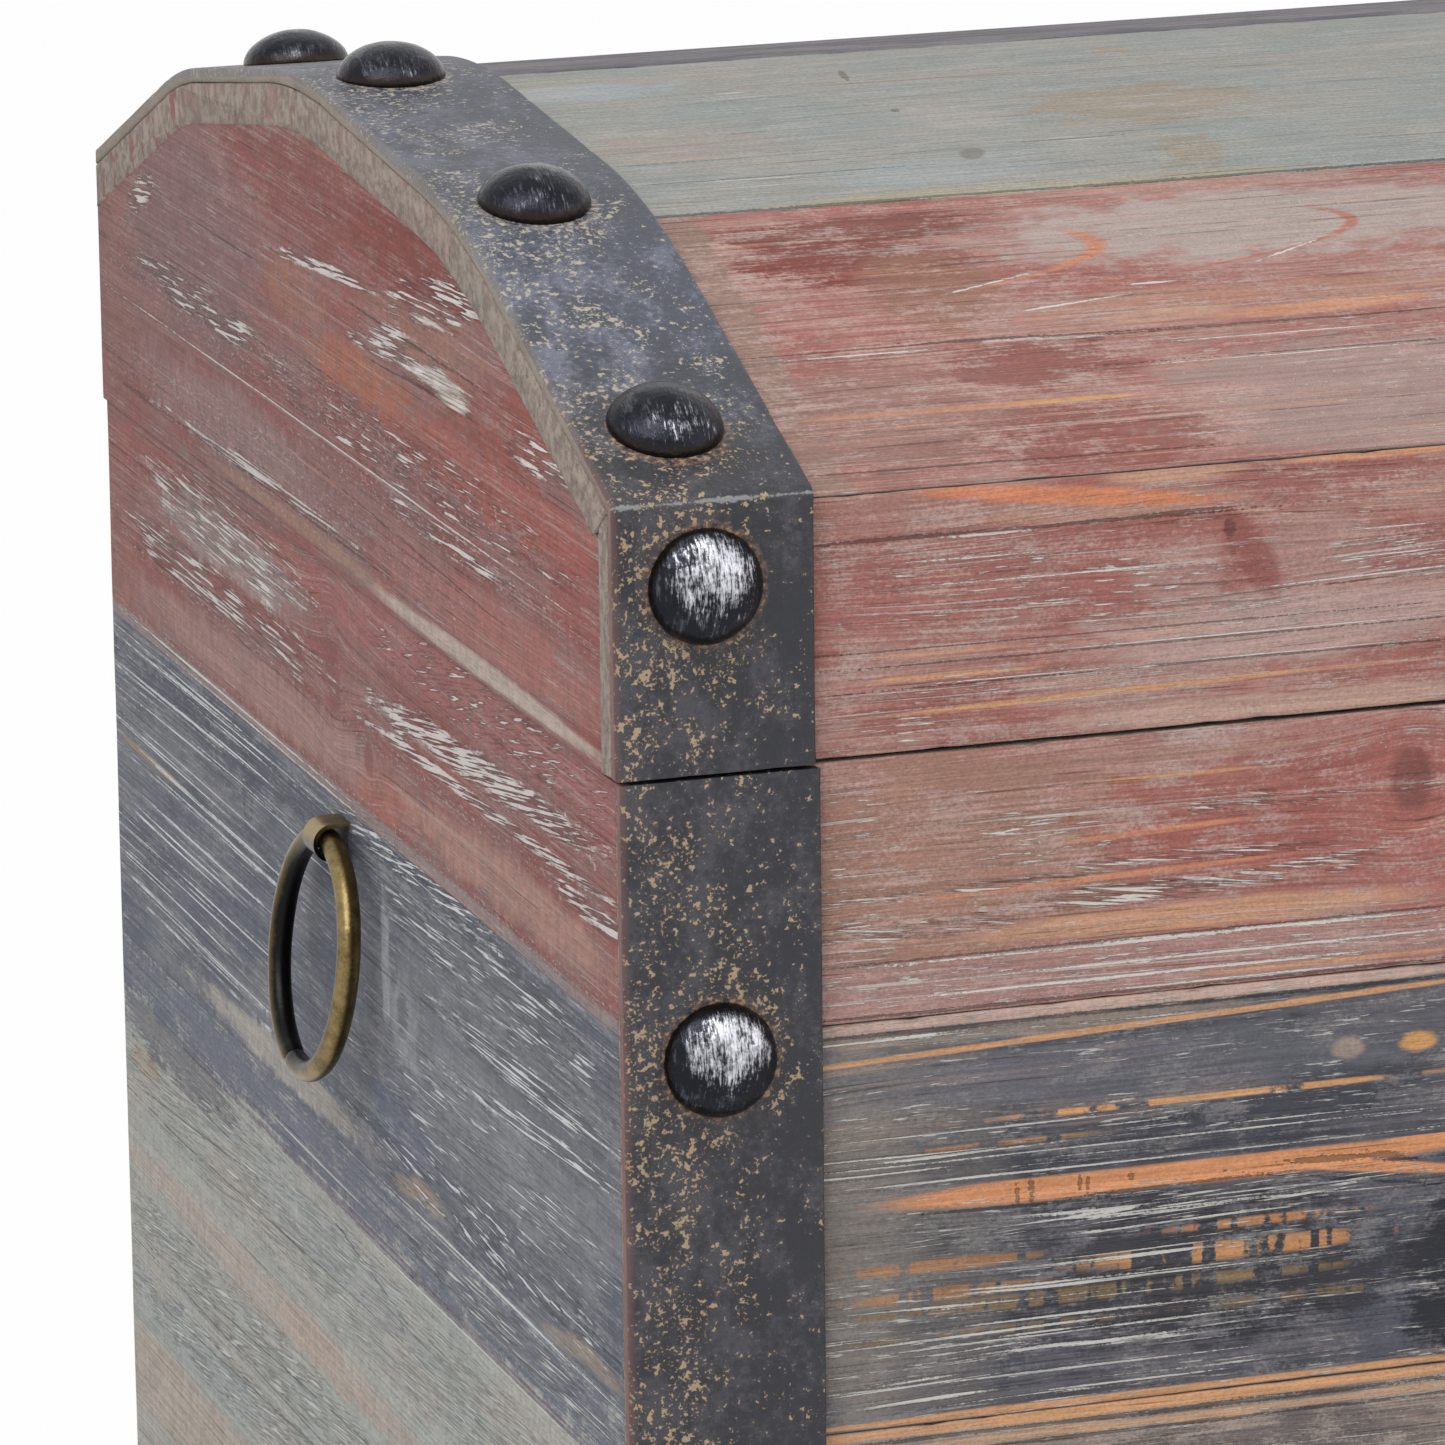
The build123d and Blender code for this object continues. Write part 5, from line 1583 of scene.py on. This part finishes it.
class TRUNK_OT_stage(Step, bpy.types.Operator):
    """Camera, floor, world and soft lamps"""

    bl_idname = "trunk.stage"
    bl_label = "Studio"

    def execute(self, context):
        light = context.scene.trunk_light
        scene = context.scene
        data = bpy.data.cameras.new("studio_camera")
        data.lens = CAMERA_LENS
        data.sensor_width = 36.0
        data.clip_end = 60.0
        camera = bpy.data.objects.new("studio_camera", data)
        scene.collection.objects.link(camera)
        yaw, pitch, roll = (math.radians(angle) for angle in CAMERA_TURN)
        ahead = Vector((math.sin(yaw) * math.cos(pitch), math.cos(yaw) * math.cos(pitch), math.sin(pitch)))
        right = Vector((math.cos(yaw), -math.sin(yaw), 0.0))
        up = right.cross(ahead)
        level = right * math.cos(roll) + up * math.sin(roll)
        rise = up * math.cos(roll) - right * math.sin(roll)
        turn = Matrix((level, rise, -ahead)).transposed().to_4x4()
        camera.matrix_world = Matrix.Translation(CAMERA_PLACE) @ turn
        scene.camera = camera
        corners = [(-6000, -6000, 0), (6000, -6000, 0), (6000, 6000, 0), (-6000, 6000, 0)]
        floor = new_piece("studio_floor", corners, [(0, 1, 2, 3)])
        floor.data.materials.append(floor_finish())
        world = bpy.data.worlds.new("studio")
        world.use_nodes = True
        scene.world = world
        tree = world.node_tree
        tree.nodes.clear()
        seen = seen_share(tree)
        backdrop = tree.nodes.new("ShaderNodeBackground")
        backdrop.inputs["Color"].default_value = (1.0, 1.0, 1.0, 1.0)
        tree.links.new((seen * (1.0 - light.room) + light.room).socket, backdrop.inputs["Strength"])
        end = tree.nodes.new("ShaderNodeOutputWorld")
        tree.links.new(backdrop.outputs[0], end.inputs["Surface"])
        lamps = (("key", light.key, 1.3, (-1.15, -1.0, 1.9)), ("fill", light.fill, 1.6, (1.8, -1.6, 1.2)))
        for name, power, size, spot in lamps:
            lamp = bpy.data.lights.new("studio_" + name, "AREA")
            lamp.energy = power
            lamp.size = size
            lamp.color = (1.0, 1.0, 1.0)
            place = bpy.data.objects.new("studio_" + name, lamp)
            scene.collection.objects.link(place)
            place.location = spot
            aim = Vector((0.0, 0.0, 0.2)) - place.location
            place.rotation_euler = aim.to_track_quat("-Z", "Y").to_euler()
        scene.view_settings.view_transform = "Standard"
        return {"FINISHED"}


STEPS = (
    TRUNK_OT_stage,
    TRUNK_OT_body_boards,
    TRUNK_OT_inner_boards,
    TRUNK_OT_lid_boards,
    TRUNK_OT_straps,
    TRUNK_OT_nails,
    TRUNK_OT_rings,
    TRUNK_OT_hinges,
)


class TRUNK_PT_panel(bpy.types.Panel):
    """The trunk's pieces, one button for each group"""

    bl_idname = "TRUNK_PT_panel"
    bl_label = "Trunk"
    bl_space_type = "VIEW_3D"
    bl_region_type = "UI"
    bl_category = "Trunk"

    def draw(self, context):
        layout = self.layout
        scene = context.scene
        for group in (scene.trunk_sizes, scene.trunk_colours, scene.trunk_light):
            for name in group.bl_rna.properties.keys():
                if name not in ("rna_type", "name"):
                    layout.prop(group, name)
        for step in STEPS:
            layout.operator(step.bl_idname)


CLASSES = (TrunkSizes, TrunkColours, TrunkLight, *STEPS, TRUNK_PT_panel)


def register():
    for cls in CLASSES:
        bpy.utils.register_class(cls)
    bpy.types.Scene.trunk_sizes = PointerProperty(type=TrunkSizes)
    bpy.types.Scene.trunk_colours = PointerProperty(type=TrunkColours)
    bpy.types.Scene.trunk_light = PointerProperty(type=TrunkLight)


def unregister():
    del bpy.types.Scene.trunk_light
    del bpy.types.Scene.trunk_colours
    del bpy.types.Scene.trunk_sizes
    for cls in reversed(CLASSES):
        bpy.utils.unregister_class(cls)


def main():
    register()
    for step in STEPS:
        group, name = step.bl_idname.split(".")
        getattr(getattr(bpy.ops, group), name)()


if __name__ == "__main__":
    main()
